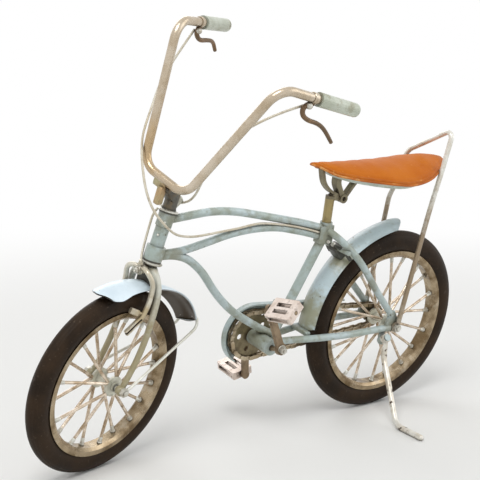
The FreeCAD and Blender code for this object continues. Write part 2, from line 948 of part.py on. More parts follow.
def front_axle():
    start = fork_half_spacing + fork_blade_diameter / 2
    shaft = cross_rod(front_centre, start + axle_diameter, axle_diameter / 2)
    nuts = []
    for hand in (1, -1):
        place = front_centre + y_axis * (hand * start)
        nuts.append(hexagon(place, y_axis * (hand * axle_diameter * 0.7), axle_diameter * 0.9))
    return fused([shaft] + nuts)


def bar_placed(shape):
    """The bar sits askew in its clamp, its left end lower."""
    moved = shape.copy()
    moved.rotate(bar_origin, x_axis, -bar_cant)
    return moved


def bar_points():
    base = bar_origin + x_axis * stem_reach
    corner = base + point(0, bar_base_half_width, 0)
    upper = point(base.x - stem_reach * 1.25, bar_top_half_width, base.z + bar_rise)
    end = point(upper.x - bar_sweep, bar_end_half_width, upper.z - bar_rise * 0.14)
    return corner, upper, end


def handlebar():
    """High bar: a flat base, two long uprights and swept-back ends."""
    corner, upper, end = bar_points()
    side = [end, upper, corner]
    other = [point(p.x, -p.y, p.z) for p in reversed(side)]
    path_points = side + other
    path = fillet_path(path_points, bar_bend_radius)
    section = Part.Wire(Part.makeCircle(bar_diameter / 2, path_points[0], path_points[1] - path_points[0]))
    return bar_placed(path.makePipeShell([section], True, False))


def fillet_path(points, radius):
    """Straight runs with one bend radius at every corner."""
    edges = []
    last = points[0]
    for before, corner, after in zip(points, points[1:], points[2:]):
        into = unit(corner - before)
        out = unit(after - corner)
        turn = acos(into.dot(out))
        reach = radius * tan(turn / 2)
        start = corner - into * reach
        end = corner + out * reach
        middle_way = unit(out - into)
        centre = corner + middle_way * (radius / cos(turn / 2))
        edges.append(Part.LineSegment(last, start).toShape())
        edges.append(Part.Arc(start, centre - middle_way * radius, end).toShape())
        last = end
    edges.append(Part.LineSegment(last, points[-1]).toShape())
    return Part.Wire(edges)


def grip(hand):
    """Round-ended sleeve over the end of the bar."""
    corner, upper, end = bar_points()
    way = unit(end - upper)
    start = end - way * grip_length
    tip = end + way * (grip_diameter / 3)
    body = rod(start, tip, grip_diameter / 2)
    rim_edges = []
    for edge in body.Edges:
        if edge.Length < grip_diameter * 4 and (edge.CenterOfMass - tip).Length < grip_diameter / 6:
            rim_edges.append(edge)
    body = body.makeFillet(grip_diameter / 3.2, rim_edges)
    bore = rod(start - way * cut_overrun, end, bar_diameter / 2)
    shape = body.cut(bore)
    shape = shape if hand > 0 else mirrored(shape)
    return bar_placed(shape)


def lever(hand):
    """Brake lever: a band on the bar and a strip bent down and back."""
    corner, upper, end = bar_points()
    way = unit(end - upper)
    root = end - way * (grip_length + lever_width)
    band_half = way * (lever_width / 2)
    band = rod(root - band_half, root + band_half, bar_diameter / 2 + lever_band_wall)
    reach = bar_sweep
    route = [
        root - z_axis * (bar_diameter / 2),
        root + point(0, 0, -reach * 0.15),
        root + point(-reach * 0.28, reach * 0.04, -reach * 0.20),
        root + point(-reach * 0.42, reach * 0.06, -reach * 0.28),
        root + point(-reach * 0.50, reach * 0.08, -reach * 0.38),
    ]
    blade = strip(route, lever_width, lever_thickness)
    bore = rod(root - way * (lever_width * 2), root + way * (lever_width * 2), bar_diameter / 2)
    shape = fused([band, blade]).cut(bore)
    shape = largest(shape)
    shape = shape if hand > 0 else mirrored(shape)
    return bar_placed(shape)


def stem():
    """Cradle behind and below the bar, on a neck from the steerer, with a bolt eye."""
    bar_middle = bar_origin + x_axis * stem_reach
    cradle = bar_placed(cross_rod(bar_middle, bar_clamp_length / 2, bar_clamp_diameter / 2))
    neck = rod(stem_top - head_axis * (stem_diameter / 2), bar_middle, stem_diameter * 0.48)
    size = bar_clamp_length * 2
    front = Part.makeBox(size, size, size)
    front.translate(point(0, -size / 2, -size / 2))
    front.rotate(origin, y_axis, -cradle_tilt)
    front.translate(bar_middle)
    collar = rod(stem_top - head_axis * stem_diameter, stem_top, stem_diameter / 2 + stem_wall)
    eye_length = bar_clamp_length * 0.62
    eye = Part.makeBox(bar_clamp_diameter * 0.5, eye_length, bar_clamp_diameter * 0.75)
    eye.translate(bar_middle - point(bar_clamp_diameter * 0.32, eye_length / 2, bar_clamp_diameter * 0.92))
    eye = bar_placed(eye)
    bolt_way = bar_middle - point(bar_clamp_diameter * 0.07, 0, bar_clamp_diameter * 0.65)
    bolt_hole = bar_placed(cross_rod(bolt_way, bar_clamp_length, bar_clamp_bolt_diameter / 2))
    steering_tube = rod(head_low, stem_top, stem_diameter / 2)
    shape = fused([cradle.cut(front), neck.cut(front), collar, eye]).cut(handlebar()).cut(steering_tube)
    return largest(shape.cut(bolt_hole))


def brake_pivot():
    return head_low + point(crown_diameter * 1.3, 0, -headset_ring_height * 3)


def front_brake():
    """Caliper: a pivot bolt on the crown, two arms and their pads."""
    pivot = brake_pivot()
    bolt_root = pivot - x_axis * (crown_diameter * 0.55)
    bolt = rod(bolt_root, pivot + x_axis * (brake_arm_diameter * 0.8), brake_arm_diameter / 2)
    drop = pivot.z - front_centre.z
    out = fork_half_spacing * 0.93
    shares = [
        (0.0, 0.08, 0.0),
        (0.0, 0.62, 0.02),
        (0.03, 1.0, 0.15),
        (0.055, 1.0, 0.30),
        (0.10, 0.97, 0.44),
        (0.20, 0.92, 0.56),
    ]
    pieces = [bolt]
    for hand in (1, -1):
        points = [point(pivot.x + drop * a, out * o, pivot.z - drop * d) for a, o, d in shares]
        arm = bent_tube(points, brake_arm_diameter / 2)
        pad_at = points[4] + point(-drop * 0.02, 0, drop * 0.03)
        rim_side = front_tyre_width / 2 - running_gap * 2
        pad = Part.makeBox(brake_arm_diameter * 2.2, out - rim_side - running_gap, brake_arm_diameter)
        pad_x = pad_at.x - brake_arm_diameter * 1.1
        pad.translate(point(pad_x, rim_side + running_gap, pad_at.z - brake_arm_diameter / 2))
        shape = fused([arm, pad])
        pieces.append(shape if hand > 0 else mirrored(shape))
    shape = fused(pieces)
    return largest(shape.cut([steerer(), front_mudguard()]))


def guard_stay(hand):
    """Wire from the tail of the front mudguard to the axle."""
    side = front_guard_width * 0.345
    angle = radians(front_guard_end - guard_stay_lead)
    low = front_guard_radius - front_guard_drop / 2
    root = front_centre + point(cos(angle) * low, side, sin(angle) * low)
    elbow = root + point(-low * 0.12, low * 0.02, -low * 0.09)
    knee = root + point(-low * 0.10, low * 0.035, -low * 0.21)
    outer = fork_half_spacing + fork_blade_diameter / 2 + axle_diameter * 1.1
    foot = front_centre + point(-axle_diameter * 1.9, outer - axle_diameter * 0.4, -axle_diameter * 0.2)
    shape = bent_tube([root, elbow, knee, foot], guard_stay_diameter / 2, 0.3)
    shape = shape.cut(front_mudguard()).cut(steerer()).cut(front_axle())
    shape = largest(shape)
    return shape if hand > 0 else mirrored(shape)


# Drive


def pin_ways(hand):
    """Forward, outward and upward ways of a pedal's pin; the left one is bent askew."""
    swing = radians(left_pin_swing) if hand > 0 else 0
    rise = radians(left_pin_rise) if hand > 0 else 0
    outward = point(-sin(swing) * cos(rise), cos(swing) * cos(rise), sin(rise)) * hand
    forward = unit((outward * hand).cross(z_axis))
    return forward, outward, forward.cross(outward * hand)


def crank_root(hand):
    """Middle of the arm's boss; the axle's left end is bent up."""
    if hand > 0:
        return bracket_centre + point(0, left_axle_reach, left_axle_lift)
    return bracket_centre - y_axis * crank_plane


def crank_end(hand):
    forward, outward, upward = pin_ways(hand)
    angle = radians(left_crank_angle if hand > 0 else crank_angle)
    length = left_crank_length if hand > 0 else crank_length
    return crank_root(hand) + (forward * sin(angle) + upward * cos(angle)) * (hand * length)


def crank_arm(hand):
    """Flat arm, tapered from the boss to the pedal pin."""
    forward, outward, upward = pin_ways(hand)
    centre = crank_root(hand)
    tip = crank_end(hand)
    half = crank_thickness / 2
    boss = rod(centre - outward * half, centre + outward * half, crank_boss_diameter / 2)
    end = rod(tip - outward * half, tip + outward * half, crank_tip_diameter / 2)
    way = unit(tip - centre)
    across = way.cross(outward)
    wide = across * (crank_tip_diameter / 2)
    narrow = across * (crank_tip_diameter / 2.6)
    corners = [centre + wide, tip + narrow, tip - narrow, centre - wide]
    web = plate(polygon([corner - outward * half for corner in corners]), outward * crank_thickness)
    pin_length = crank_thickness / 2 + running_gap * 2 + pedal_width
    pin = rod(tip, tip + outward * pin_length, pedal_pin_diameter / 2)
    bend = bracket_centre + y_axis * (hand * (shell_left_end() + running_gap * 2))
    if hand < 0:
        return fused([boss, end, web, pin, rod(bracket_centre, centre, axle_diameter / 2)])
    knuckle = Part.makeSphere(axle_diameter / 2, bend)
    axle = rod(bracket_centre, bend, axle_diameter / 2)
    return fused([boss, end, web, pin, axle, knuckle, rod(bend, centre, axle_diameter / 2)])


def chainwheel():
    """Closed toothed disc with a raised boss and five round holes, on the right crank's axle."""
    disc = toothed_disc(chainwheel_teeth, bracket_centre, -chain_line)
    outer = pitch_radius(chainwheel_teeth)
    inner_face = bracket_centre - y_axis * (bracket_shell_length / 2 + running_gap)
    boss = rod(bracket_centre - y_axis * chain_line, inner_face, crank_boss_diameter / 2)
    shape = disc.fuse(boss)
    for index in range(chainwheel_hole_count):
        place = bracket_centre + polar(outer * chainwheel_hole_share, 2 * pi * index / chainwheel_hole_count)
        shape = shape.cut(cross_rod(place, chain_line * 2, chain_pitch / 2))
    hole = cross_rod(bracket_centre, chain_line * 2, axle_diameter / 2)
    return shape.cut(hole)


def polar(radius, angle):
    return point(cos(angle) * radius, 0, sin(angle) * radius)


def pedal(hand):
    """Block of two slotted plates on end caps, free on its pin."""
    forward, outward, upward = pin_ways(hand)
    inner = crank_end(hand) + outward * (crank_thickness / 2 + running_gap * 2)
    body = Part.makeBox(pedal_length, pedal_width, pedal_height)
    body.translate(point(-pedal_length / 2, 0, -pedal_height / 2))
    upright = [edge for edge in body.Edges if edge.BoundBox.ZLength > pedal_height / 2]
    body = body.makeFillet(pedal_height / 5, upright)
    wall = pedal_height / 4
    core = Part.makeBox(pedal_length + cut_overrun * 2, pedal_width - wall * 3.4, pedal_height - wall * 1.8)
    core.translate(point(-pedal_length / 2 - cut_overrun, wall * 1.7, -pedal_height / 2 + wall * 0.9))
    body = body.cut(core)
    slot_length = pedal_length * 0.20
    for place in (-0.17, 0.17):
        slot = Part.makeBox(slot_length, pedal_width * 0.56, pedal_height * 2)
        slot.translate(point(pedal_length * place - slot_length / 2, pedal_width * 0.22, -pedal_height))
        body = body.cut(slot)
    barrel = rod(origin, y_axis * pedal_width, pedal_pin_diameter / 2 + wall * 0.9)
    bore_end = y_axis * (pedal_width + cut_overrun)
    bore = rod(y_axis * -cut_overrun, bore_end, pedal_pin_diameter / 2 + running_gap / 2)
    body = body.fuse(barrel).cut(bore).removeSplitter()
    pitch = left_pedal_pitch if hand > 0 else right_pedal_pitch
    if hand < 0:
        body = mirrored(body)
    body.rotate(origin, y_axis, -pitch)
    turn = FreeCAD.Rotation(forward, outward * hand, upward, "XYZ")
    body.Placement = FreeCAD.Placement(inner, turn).multiply(body.Placement)
    return body


def chain():
    """Closed loop of plates and pins round both toothed discs."""
    big = pitch_radius(chainwheel_teeth)
    small = pitch_radius(sprocket_teeth)
    span = bracket_centre.x - rear_centre.x
    rise = bracket_centre.z - rear_centre.z
    distance = hypot(span, rise)
    tilt = atan2(rise, span)
    dip = acos((big - small) / distance)
    straight = sqrt(distance**2 - (big - small) ** 2)
    wrap_big = 2 * (pi - dip)
    wrap_small = 2 * dip
    length = 2 * straight + big * wrap_big + small * wrap_small
    links = 2 * round(length / chain_pitch / 2)
    step = length / links

    def place(distance_along):
        s = distance_along % length
        if s < straight:
            start = rear_centre + polar(small, tilt + dip)
            end = bracket_centre + polar(big, tilt + dip)
            return start + (end - start) * (s / straight)
        s -= straight
        if s < big * wrap_big:
            return bracket_centre + polar(big, tilt + dip - s / big)
        s -= big * wrap_big
        if s < straight:
            start = bracket_centre + polar(big, tilt - dip)
            end = rear_centre + polar(small, tilt - dip)
            return start + (end - start) * (s / straight)
        s -= straight
        return rear_centre + polar(small, tilt - dip - s / small)

    pieces = []
    inner_side = sprocket_thickness / 2 + running_gap
    for index in range(links):
        start = place(index * step)
        end = place((index + 1) * step)
        side = inner_side if index % 2 else inner_side + chain_plate_thickness
        for hand in (1, -1):
            pieces.append(link_plate(start, end, hand * side))
        pin_half = inner_side + chain_plate_thickness * 2
        pin_start = start - y_axis * (chain_line + pin_half)
        pieces.append(rod(pin_start, pin_start + y_axis * (pin_half * 2), chain_roller_diameter / 4))
    return Part.makeCompound([pieces[0].fuse(pieces[1:])])


def link_plate(start, end, side):
    """One side plate: a flat stadium between two pins."""
    way = unit(end - start)
    across = way.cross(y_axis) * (chain_plate_height / 2)
    bulge = way * (chain_plate_height * 0.28)
    shift = y_axis * (side - chain_line)
    corners = [
        start - bulge - across * 0.55,
        start - across,
        end - across,
        end + bulge - across * 0.55,
        end + bulge + across * 0.55,
        end + across,
        start + across,
        start - bulge + across * 0.55,
    ]
    depth = chain_plate_thickness if side > 0 else -chain_plate_thickness
    return plate(polygon([corner + shift for corner in corners]), y_axis * depth)


def chain_guard():
    """Bent strip round the front of the chainwheel and over the chain."""
    inner = pitch_radius(chainwheel_teeth) + chain_plate_height / 2 + chain_guard_margin
    outer = inner + chain_guard_thickness
    plate_side = chain_line + sprocket_thickness / 2 + running_gap * 2 + chain_plate_thickness * 2
    start = radians(-58)
    turn = radians(97)
    rear_x = rear_centre.x + rear_wheel_radius * 0.42
    rear_drop = inner * 0.33
    inner_plate = inner - chain_guard_depth

    def outline(radius):
        return [
            Part.Arc(
                bracket_centre + polar(radius, start),
                bracket_centre + polar(radius, (start + turn) / 2),
                bracket_centre + polar(radius, turn),
            ).toShape(),
            Part.LineSegment(
                bracket_centre + polar(radius, turn),
                point(rear_x, 0, bracket_centre.z + radius - rear_drop),
            ).toShape(),
        ]

    def band(low_radius, high_radius, near_side, far_side):
        high = outline(high_radius)
        low = outline(low_radius)
        high_start = high[0].Vertexes[0].Point
        low_start = low[0].Vertexes[0].Point
        high_end = high[1].Vertexes[1].Point
        low_end = low[1].Vertexes[1].Point
        start_cap = Part.LineSegment(high_start, low_start).toShape()
        caps = [start_cap, Part.LineSegment(high_end, low_end).toShape()]
        wire = Part.Wire(Part.sortEdges(high + low + caps)[0])
        shape = Part.Face(wire).extrude(y_axis * (near_side - far_side))
        shape.translate(y_axis * far_side)
        return shape

    far_side = -plate_side - chain_guard_thickness
    flange = band(inner, outer, far_side + chain_guard_width, far_side)
    side = band(inner_plate, outer, -plate_side, far_side)
    tab_side = seat_tube_diameter / 2
    tab_z = bracket_centre.z + inner + chain_guard_thickness / 2
    tab_x = seat_foot.x + seat_way.x * ((tab_z - seat_foot.z) / seat_way.z)
    tab = rod(point(tab_x, -tab_side * 0.5, tab_z), point(tab_x, -plate_side, tab_z), chain_guard_thickness)
    shape = fused([flange, side, tab]).cut(seat_tube_solid()).cut(rear_triangle(-1))
    return largest(shape)


# Side stand


def stand_root():
    return rear_centre + point(stand_root_ahead, stand_root_offset, -stand_root_drop)


def foot_point(ground, x, y, lift):
    """Point at x and y that ends up a lift above the ground once parked."""
    normal, offset = ground
    return point(x, y, (lift - offset - normal.x * x - normal.y * y) / normal.z)


stand_toe_shares = (0.16, 1.0)
stand_folded_shares = (-1.0, 0.16, -0.04)


def stand_heel(ground):
    return foot_point(ground, rear_centre.x + stand_foot_ahead, stand_foot_offset, stand_diameter / 2)


def stand_pivot_axis(ground):
    """The stand turns from its parked way to nearly level, pointing back."""
    down = unit(stand_heel(ground) - stand_root())
    return unit(down.cross(unit(point(*stand_folded_shares))))


def stand_bracket(ground):
    """Lug under the left dropout: a plate, a boss and the stand's pin."""
    root = stand_root()
    way = stand_pivot_axis(ground)
    inner_face = root - way * (stand_diameter / 2 + running_gap)
    boss = rod(inner_face, inner_face - way * stand_diameter, stand_diameter * 0.7)
    head_start = root + way * (stand_diameter / 2 + running_gap)
    head = rod(head_start, head_start + way * (stand_pin_diameter / 3), stand_pin_diameter)
    pin_root = inner_face - way * (stand_diameter / 2)
    pin = rod(pin_root, head_start + way * (stand_pin_diameter / 4), stand_pin_diameter / 2)
    end = inner_face - way * (stand_diameter * 0.6)
    half = stand_diameter * 0.62
    side = dropout_half_spacing - dropout_thickness / 2
    top = rear_centre.z - stay_diameter / 4
    corners = [
        point(end.x - half, side, top),
        point(end.x + half, side, top),
        point(end.x + half, side, end.z),
        point(end.x + half / 2, side, end.z - half),
        point(end.x - half / 2, side, end.z - half),
        point(end.x - half, side, end.z),
    ]
    web = plate(polygon(corners), y_axis * (end.y - side + dropout_thickness))
    shape = fused([boss, web, pin, head])
    pin_core = rod(inner_face, head_start, stand_pin_diameter / 2)
    clear = rod(inner_face, head_start, stand_diameter * 1.4).cut(pin_core)
    return largest(shape.cut([rear_triangle(1), clear]))


def side_stand(ground):
    """Bent rod with an eye at its root and a long level toe."""
    root = stand_root()
    way = stand_pivot_axis(ground)
    radius = stand_diameter / 2
    heel = stand_heel(ground)
    toe_x = heel.x + stand_toe_length * stand_toe_shares[0]
    toe = foot_point(ground, toe_x, heel.y + stand_toe_length * stand_toe_shares[1], radius)
    bow = root - point(0, -stand_bow_drop / 8, stand_bow_drop)
    leg = bent_tube([root, bow, heel, toe], radius, 0.24)
    eye = rod(root - way * radius, root + way * radius, stand_diameter * 0.78)
    tip = Part.makeSphere(radius, toe)
    reach = way * stand_diameter
    bore = rod(root - reach, root + reach, stand_pin_diameter / 2 + running_gap / 2)
    sides = []
    for hand in (1, -1):
        start = root + way * (hand * radius)
        sides.append(rod(start, start + way * (hand * stand_diameter), stand_diameter * 1.4))
    return largest(fused([leg, eye, tip]).cut([bore] + sides))


# Cables


# Cable routes before the front end is turned, from the foot of the head tube, in head tube lengths.
front_cable_shares = [
    (-0.610, 0.482, 1.550),
    (-0.674, 0.155, 1.036),
    (-0.465, -0.300, 1.005),
    (-0.206, -0.336, 0.818),
    (-0.100, -0.309, 0.500),
    (0.045, -0.232, 0.230),
    (0.180, -0.140, 0.035),
    (0.312, 0.009, -0.068),
]
bar_cable_shares = [
    (-0.929, -1.227, 3.441),
    (-0.592, -1.118, 2.777),
    (-0.256, -0.945, 2.332),
    (0.117, -0.573, 2.136),
    (0.244, -0.345, 1.791),
    (0.317, -0.118, 1.441),
    (0.290, 0.118, 1.114),
    (0.071, 0.291, 0.832),
]
# Along the span from the head's top to the seat cluster: share, side in tube diameters, rise in spans.
frame_cable_shares = [
    (-0.029, 1.658, -0.065),
    (0.019, 1.395, -0.091),
    (0.077, 1.053, -0.099),
    (0.143, 0.763, -0.097),
    (0.219, 0.500, -0.083),
    (0.305, 0.410, -0.060),
    (0.423, 0.405, -0.028),
    (0.497, 0.385, -0.002),
    (0.563, 0.368, 0.014),
    (0.714, 0.395, 0.020),
    (0.843, 0.421, 0.016),
]


def head_places(shares):
    """Places given in head tube lengths from the foot of the head tube."""
    return [head_low + point(*share) * head_tube_length for share in shares]


upright_shares = (0.35, 0.86)
cable_bend_share = 0.45


def lever_end(hand):
    """Where a cable leaves its brake lever."""
    corner, upper, end = bar_points()
    way = unit(end - upper)
    root = end - way * (grip_length + lever_width)
    place = root - z_axis * (bar_diameter / 2 + lever_band_wall) - way * lever_width
    return bar_placed(Part.Vertex(point(place.x, hand * place.y, place.z))).Point


def upright_point(share, hand):
    """Point beside an upright of the bar, on its rear inner side."""
    corner, upper, end = bar_points()
    at = upper + (corner - upper) * share
    beside = bar_diameter / 2 + cable_diameter
    place = point(at.x - beside * 0.75, hand * (at.y - beside * 0.9), at.z)
    return bar_placed(Part.Vertex(place)).Point


def front_brake_cable():
    """From the left lever behind the upright, round the stem, to the caliper."""
    start = [lever_end(1)] + [upright_point(share, 1) for share in upright_shares]
    return bent_tube(start + head_places(front_cable_shares), cable_diameter / 2, cable_bend_share)


def bar_cable():
    """Rear brake cable from the right lever, ahead of the upright, to the head."""
    return bent_tube([lever_end(-1)] + head_places(bar_cable_shares), cable_diameter / 2, cable_bend_share)


def frame_cable():
    """Rear brake cable from the head along the groove between the frame tubes."""
    span = cluster - head_high
    points = []
    for along, side, rise in frame_cable_shares:
        lift = abs(span.x) * rise
        points.append(head_high + span * along + point(0, frame_tube_diameter * side, lift))
    front = cluster + x_axis * (cluster_block_length * 0.58 + running_gap)
    points.append(front + point(0, frame_tube_diameter * 0.44, frame_tube_diameter * 0.38))
    return bent_tube(points, cable_diameter / 2, cable_bend_share)


# Assembly

def tyre_bottom(centre, axis, radius, height, width):
    """Height of the lowest point of a leaning round tyre."""
    tip = abs(axis.z)
    upright = sqrt(1 - tip * tip)
    bead_half = width / 2 - rim_wall - running_gap * 2
    cut_share = sqrt(1 - (bead_half / (width / 2)) ** 2)
    half_height = height / (1 + cut_share)
    ring = radius - half_height
    return centre.z - ring * upright - hypot(width / 2 * tip, half_height * upright)


def steering_placement():
    return FreeCAD.Placement(origin, FreeCAD.Rotation(head_axis, steer_angle), head_foot)


def parked_placement():
    """Lean to the left, then level so that both tyres touch the ground."""
    steering = steering_placement()
    front = steering.multVec(front_centre)
    front_way = steering.Rotation.multVec(y_axis)
    lean = FreeCAD.Placement(origin, FreeCAD.Rotation(x_axis, -lean_angle))
    placement = lean
    rear_sizes = (rear_wheel_radius, rear_tyre_height, rear_tyre_width)
    front_sizes = (front_wheel_radius, front_tyre_height, front_tyre_width)
    for _ in range(4):
        turn = placement.Rotation
        rear_low = tyre_bottom(placement.multVec(rear_centre), turn.multVec(y_axis), *rear_sizes)
        front_low = tyre_bottom(placement.multVec(front), turn.multVec(front_way), *front_sizes)
        pitch = degrees(atan2(front_low - rear_low, wheelbase))
        level = FreeCAD.Placement(origin, FreeCAD.Rotation(y_axis, pitch))
        placement = level.multiply(placement)
    turn = placement.Rotation
    rear_low = tyre_bottom(placement.multVec(rear_centre), turn.multVec(y_axis), *rear_sizes)
    drop = FreeCAD.Placement(z_axis * -rear_low, FreeCAD.Rotation())
    return drop.multiply(placement)


def frame_nodes():
    return {
        "head_tube": head_tube(),
        "top_tube": top_tube(),
        "cantilever_tube": low_tube(),
        "down_tube": down_tube(),
        "seat_tube": seat_tube(),
        "seat_cluster": cluster_block(),
        "bottom_bracket": bottom_bracket(),
        "left_chain_stay": lower_stay(1),
        "left_seat_stay": upper_stay(1),
        "right_chain_stay": lower_stay(-1),
        "right_seat_stay": upper_stay(-1),
        "guard_bridge": guard_bridge(),
        "rear_axle": rear_axle(),
        "rear_mudguard": rear_mudguard(),
        "seat_post": seat_post(),
        "saddle_bracket": saddle_bracket(),
        "saddle_pan": saddle_pan(),
        "saddle": saddle(),
        "back_bar": back_bar(),
        "chain": chain(),
        "chain_guard": chain_guard(),
        "frame_cable": frame_cable(),
    }


def steering_nodes():
    return {
        "fork": steerer(),
        "headset_rings": headset_rings(),
        "front_axle": front_axle(),
        "stem": stem(),
        "handlebar": handlebar(),
        "left_grip": grip(1),
        "right_grip": grip(-1),
        "left_lever": lever(1),
        "right_lever": lever(-1),
        "front_brake": front_brake(),
        "front_mudguard": front_mudguard(),
        "left_guard_stay": guard_stay(1),
        "right_guard_stay": guard_stay(-1),
        "front_brake_cable": front_brake_cable(),
        "bar_cable": bar_cable(),
    }


def drive_nodes():
    return {
        "chainwheel": chainwheel(),
        "left_crank": crank_arm(1),
        "right_crank": crank_arm(-1),
        "left_pedal": pedal(1),
        "right_pedal": pedal(-1),
    }


def write(name, shape, shift):
    moved = shape.copy()
    moved.Placement = shift.multiply(moved.Placement)
    solids = moved.Solids
    moved = solids[0] if len(solids) == 1 else Part.makeCompound(solids)
    moved.exportStep("parts/" + name + ".step")
    return moved


def main():
    os.makedirs("parts", exist_ok=True)
    steering = steering_placement()
    parked = parked_placement()
    normal = parked.Rotation.inverted().multVec(z_axis)
    ground = (normal, parked.multVec(origin).z)
    fixed = frame_nodes()
    fixed.update(drive_nodes())
    fixed.update(wheel_nodes("rear", rear_centre, rear_wheel_radius, rear_tyre_height, rear_tyre_width))
    fixed["rear_sprocket"] = rear_sprocket()
    fixed["side_stand"] = side_stand(ground)
    fixed["stand_bracket"] = stand_bracket(ground)
    turning = steering_nodes()
    front_sizes = (front_wheel_radius, front_tyre_height, front_tyre_width)
    turning.update(wheel_nodes("front", front_centre, *front_sizes))
    upright = {}
    for name, shape in fixed.items():
        upright[name] = (shape, parked)
    for name, shape in turning.items():
        upright[name] = (shape, parked.multiply(steering))
    box = FreeCAD.BoundBox()
    for shape, placement in upright.values():
        moved = shape.copy()
        moved.Placement = placement.multiply(moved.Placement)
        box.add(moved.BoundBox)
    middle = point(-(box.XMin + box.XMax) / 2, -(box.YMin + box.YMax) / 2, 0)
    centre = FreeCAD.Placement(middle, FreeCAD.Rotation())
    for name, (shape, placement) in upright.items():
        moved = write(name, shape, centre.multiply(placement))
        print(name, len(moved.Solids), moved.isValid(), round(moved.Volume, 2))
    report(centre.multiply(parked), centre.multiply(parked.multiply(steering)), ground)


def report(parked, turned_front, ground):
    """Prints the joints' places and axes, in the part's own frame."""
    root = stand_root()
    stand_axis = stand_pivot_axis(ground)
    joints = {
        "steering": (head_low, head_axis, turned_front),
        "front_wheel_spin": (front_centre, y_axis, turned_front),
        "rear_wheel_spin": (rear_centre, y_axis, parked),
        "crank_spin": (bracket_centre, y_axis, parked),
        "left_pedal_spin": (crank_end(1), pin_ways(1)[1], parked),
        "right_pedal_spin": (crank_end(-1), y_axis, parked),
        "stand_fold": (root, stand_axis, parked),
    }
    for name, (place, axis, placement) in joints.items():
        at = placement.multVec(place)
        way = placement.Rotation.multVec(axis)
        print("joint", name, *[round(v, 5) for v in (at.x, at.y, at.z, way.x, way.y, way.z)])
    corner, upper, end = bar_points()
    for name, hand in (("left_grip_end", 1), ("right_grip_end", -1)):
        inner = bar_placed(Part.Vertex(point(upper.x, hand * upper.y, upper.z))).Point
        outer = bar_placed(Part.Vertex(point(end.x, hand * end.y, end.z))).Point
        way = unit(outer - inner)
        at = turned_front.multVec(outer - way * (grip_length / 2))
        way = turned_front.Rotation.multVec(way)
        print("mount", name, *[round(v, 5) for v in (at.x, at.y, at.z, way.x, way.y, way.z)])


main()
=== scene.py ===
import bpy
import json
import numpy as np
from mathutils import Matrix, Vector


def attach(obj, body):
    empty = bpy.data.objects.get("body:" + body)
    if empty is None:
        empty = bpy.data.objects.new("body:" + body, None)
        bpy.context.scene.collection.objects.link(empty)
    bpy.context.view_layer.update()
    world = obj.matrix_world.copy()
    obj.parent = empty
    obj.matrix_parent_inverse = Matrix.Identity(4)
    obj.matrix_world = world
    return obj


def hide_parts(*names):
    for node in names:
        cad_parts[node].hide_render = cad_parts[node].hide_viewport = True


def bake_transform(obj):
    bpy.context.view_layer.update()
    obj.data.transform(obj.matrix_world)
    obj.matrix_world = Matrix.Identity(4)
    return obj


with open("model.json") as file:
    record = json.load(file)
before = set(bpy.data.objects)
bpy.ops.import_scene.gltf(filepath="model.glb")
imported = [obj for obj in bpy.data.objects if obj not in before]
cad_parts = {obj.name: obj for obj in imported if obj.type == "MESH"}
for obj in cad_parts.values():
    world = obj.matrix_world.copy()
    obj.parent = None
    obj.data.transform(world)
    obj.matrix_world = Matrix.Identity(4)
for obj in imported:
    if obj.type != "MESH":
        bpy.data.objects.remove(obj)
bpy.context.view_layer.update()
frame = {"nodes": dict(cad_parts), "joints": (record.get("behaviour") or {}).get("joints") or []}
nodes = frame["nodes"]
joints = {joint["name"]: joint for joint in frame["joints"]}
mm = 0.001
print("loaded the frame with", len(nodes), "nodes")

# All shapes are drawn in mm on an upright bicycle with its front wheel straight. onFrame and onFork set
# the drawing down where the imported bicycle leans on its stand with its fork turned.
drawing = {
    "rearCentre": (-83.2, 0.0, 50.0),
    "frontCentre": (83.2, 0.0, 44.0),
    "rearRadius": 50.0,
    "frontRadius": 44.0,
    "headAngle": 75.0,
    "headLow": (64.028, 0.0, 99.502),
    "headHigh": (58.334, 0.0, 120.752),
}


def jointPlace(name):
    # where a joint is and which way its axis points
    return np.array(joints[name]["pos_m"], float), np.array(joints[name]["axis"], float)


def unitVector(vector):
    return np.asarray(vector, float) / np.linalg.norm(vector)


def unitRows(rows):
    return rows / np.linalg.norm(rows, axis=1, keepdims=True)


rearPlace, rearAxis = jointPlace("rear_wheel_spin")
frontPlace, frontAxis = jointPlace("front_wheel_spin")
steerAxis = jointPlace("steering")[1]
crankPlace = jointPlace("crank_spin")[0]
ahead = unitVector(crankPlace - rearPlace)
frameTurn = np.stack([ahead, rearAxis, np.cross(ahead, rearAxis)], 1)
headSine = np.sin(np.radians(drawing["headAngle"]))
headCosine = np.cos(np.radians(drawing["headAngle"]))
across = np.cross(frontAxis, steerAxis)
steerAhead = headSine * across - headCosine * steerAxis
steerTurn = np.stack([steerAhead, frontAxis, headCosine * across + headSine * steerAxis], 1)


def onFrame(points):
    # drawing points in mm, as metres where the frame stands
    return (np.asarray(points, float) - drawing["rearCentre"]) * mm @ frameTurn.T + rearPlace


def onFork(points):
    # the same for what turns with the fork
    return (np.asarray(points, float) - drawing["frontCentre"]) * mm @ steerTurn.T + frontPlace


# Mesh helpers

def fullTurn(count):
    return np.linspace(0, 2 * np.pi, count, endpoint=False)


def gridOf(*parts):
    # x, y and z spread to the same rows and columns, as one grid of points
    return np.stack(np.broadcast_arrays(*parts), -1)


def placed(placing, shape):
    # a shape in drawing mm set down on the frame or on the fork
    return placing(shape[0]), shape[1]


def mirrored(points, hand):
    # drawing points on the left, or with hand -1 the same ones on the right
    return np.array(points) * [1, hand, 1]


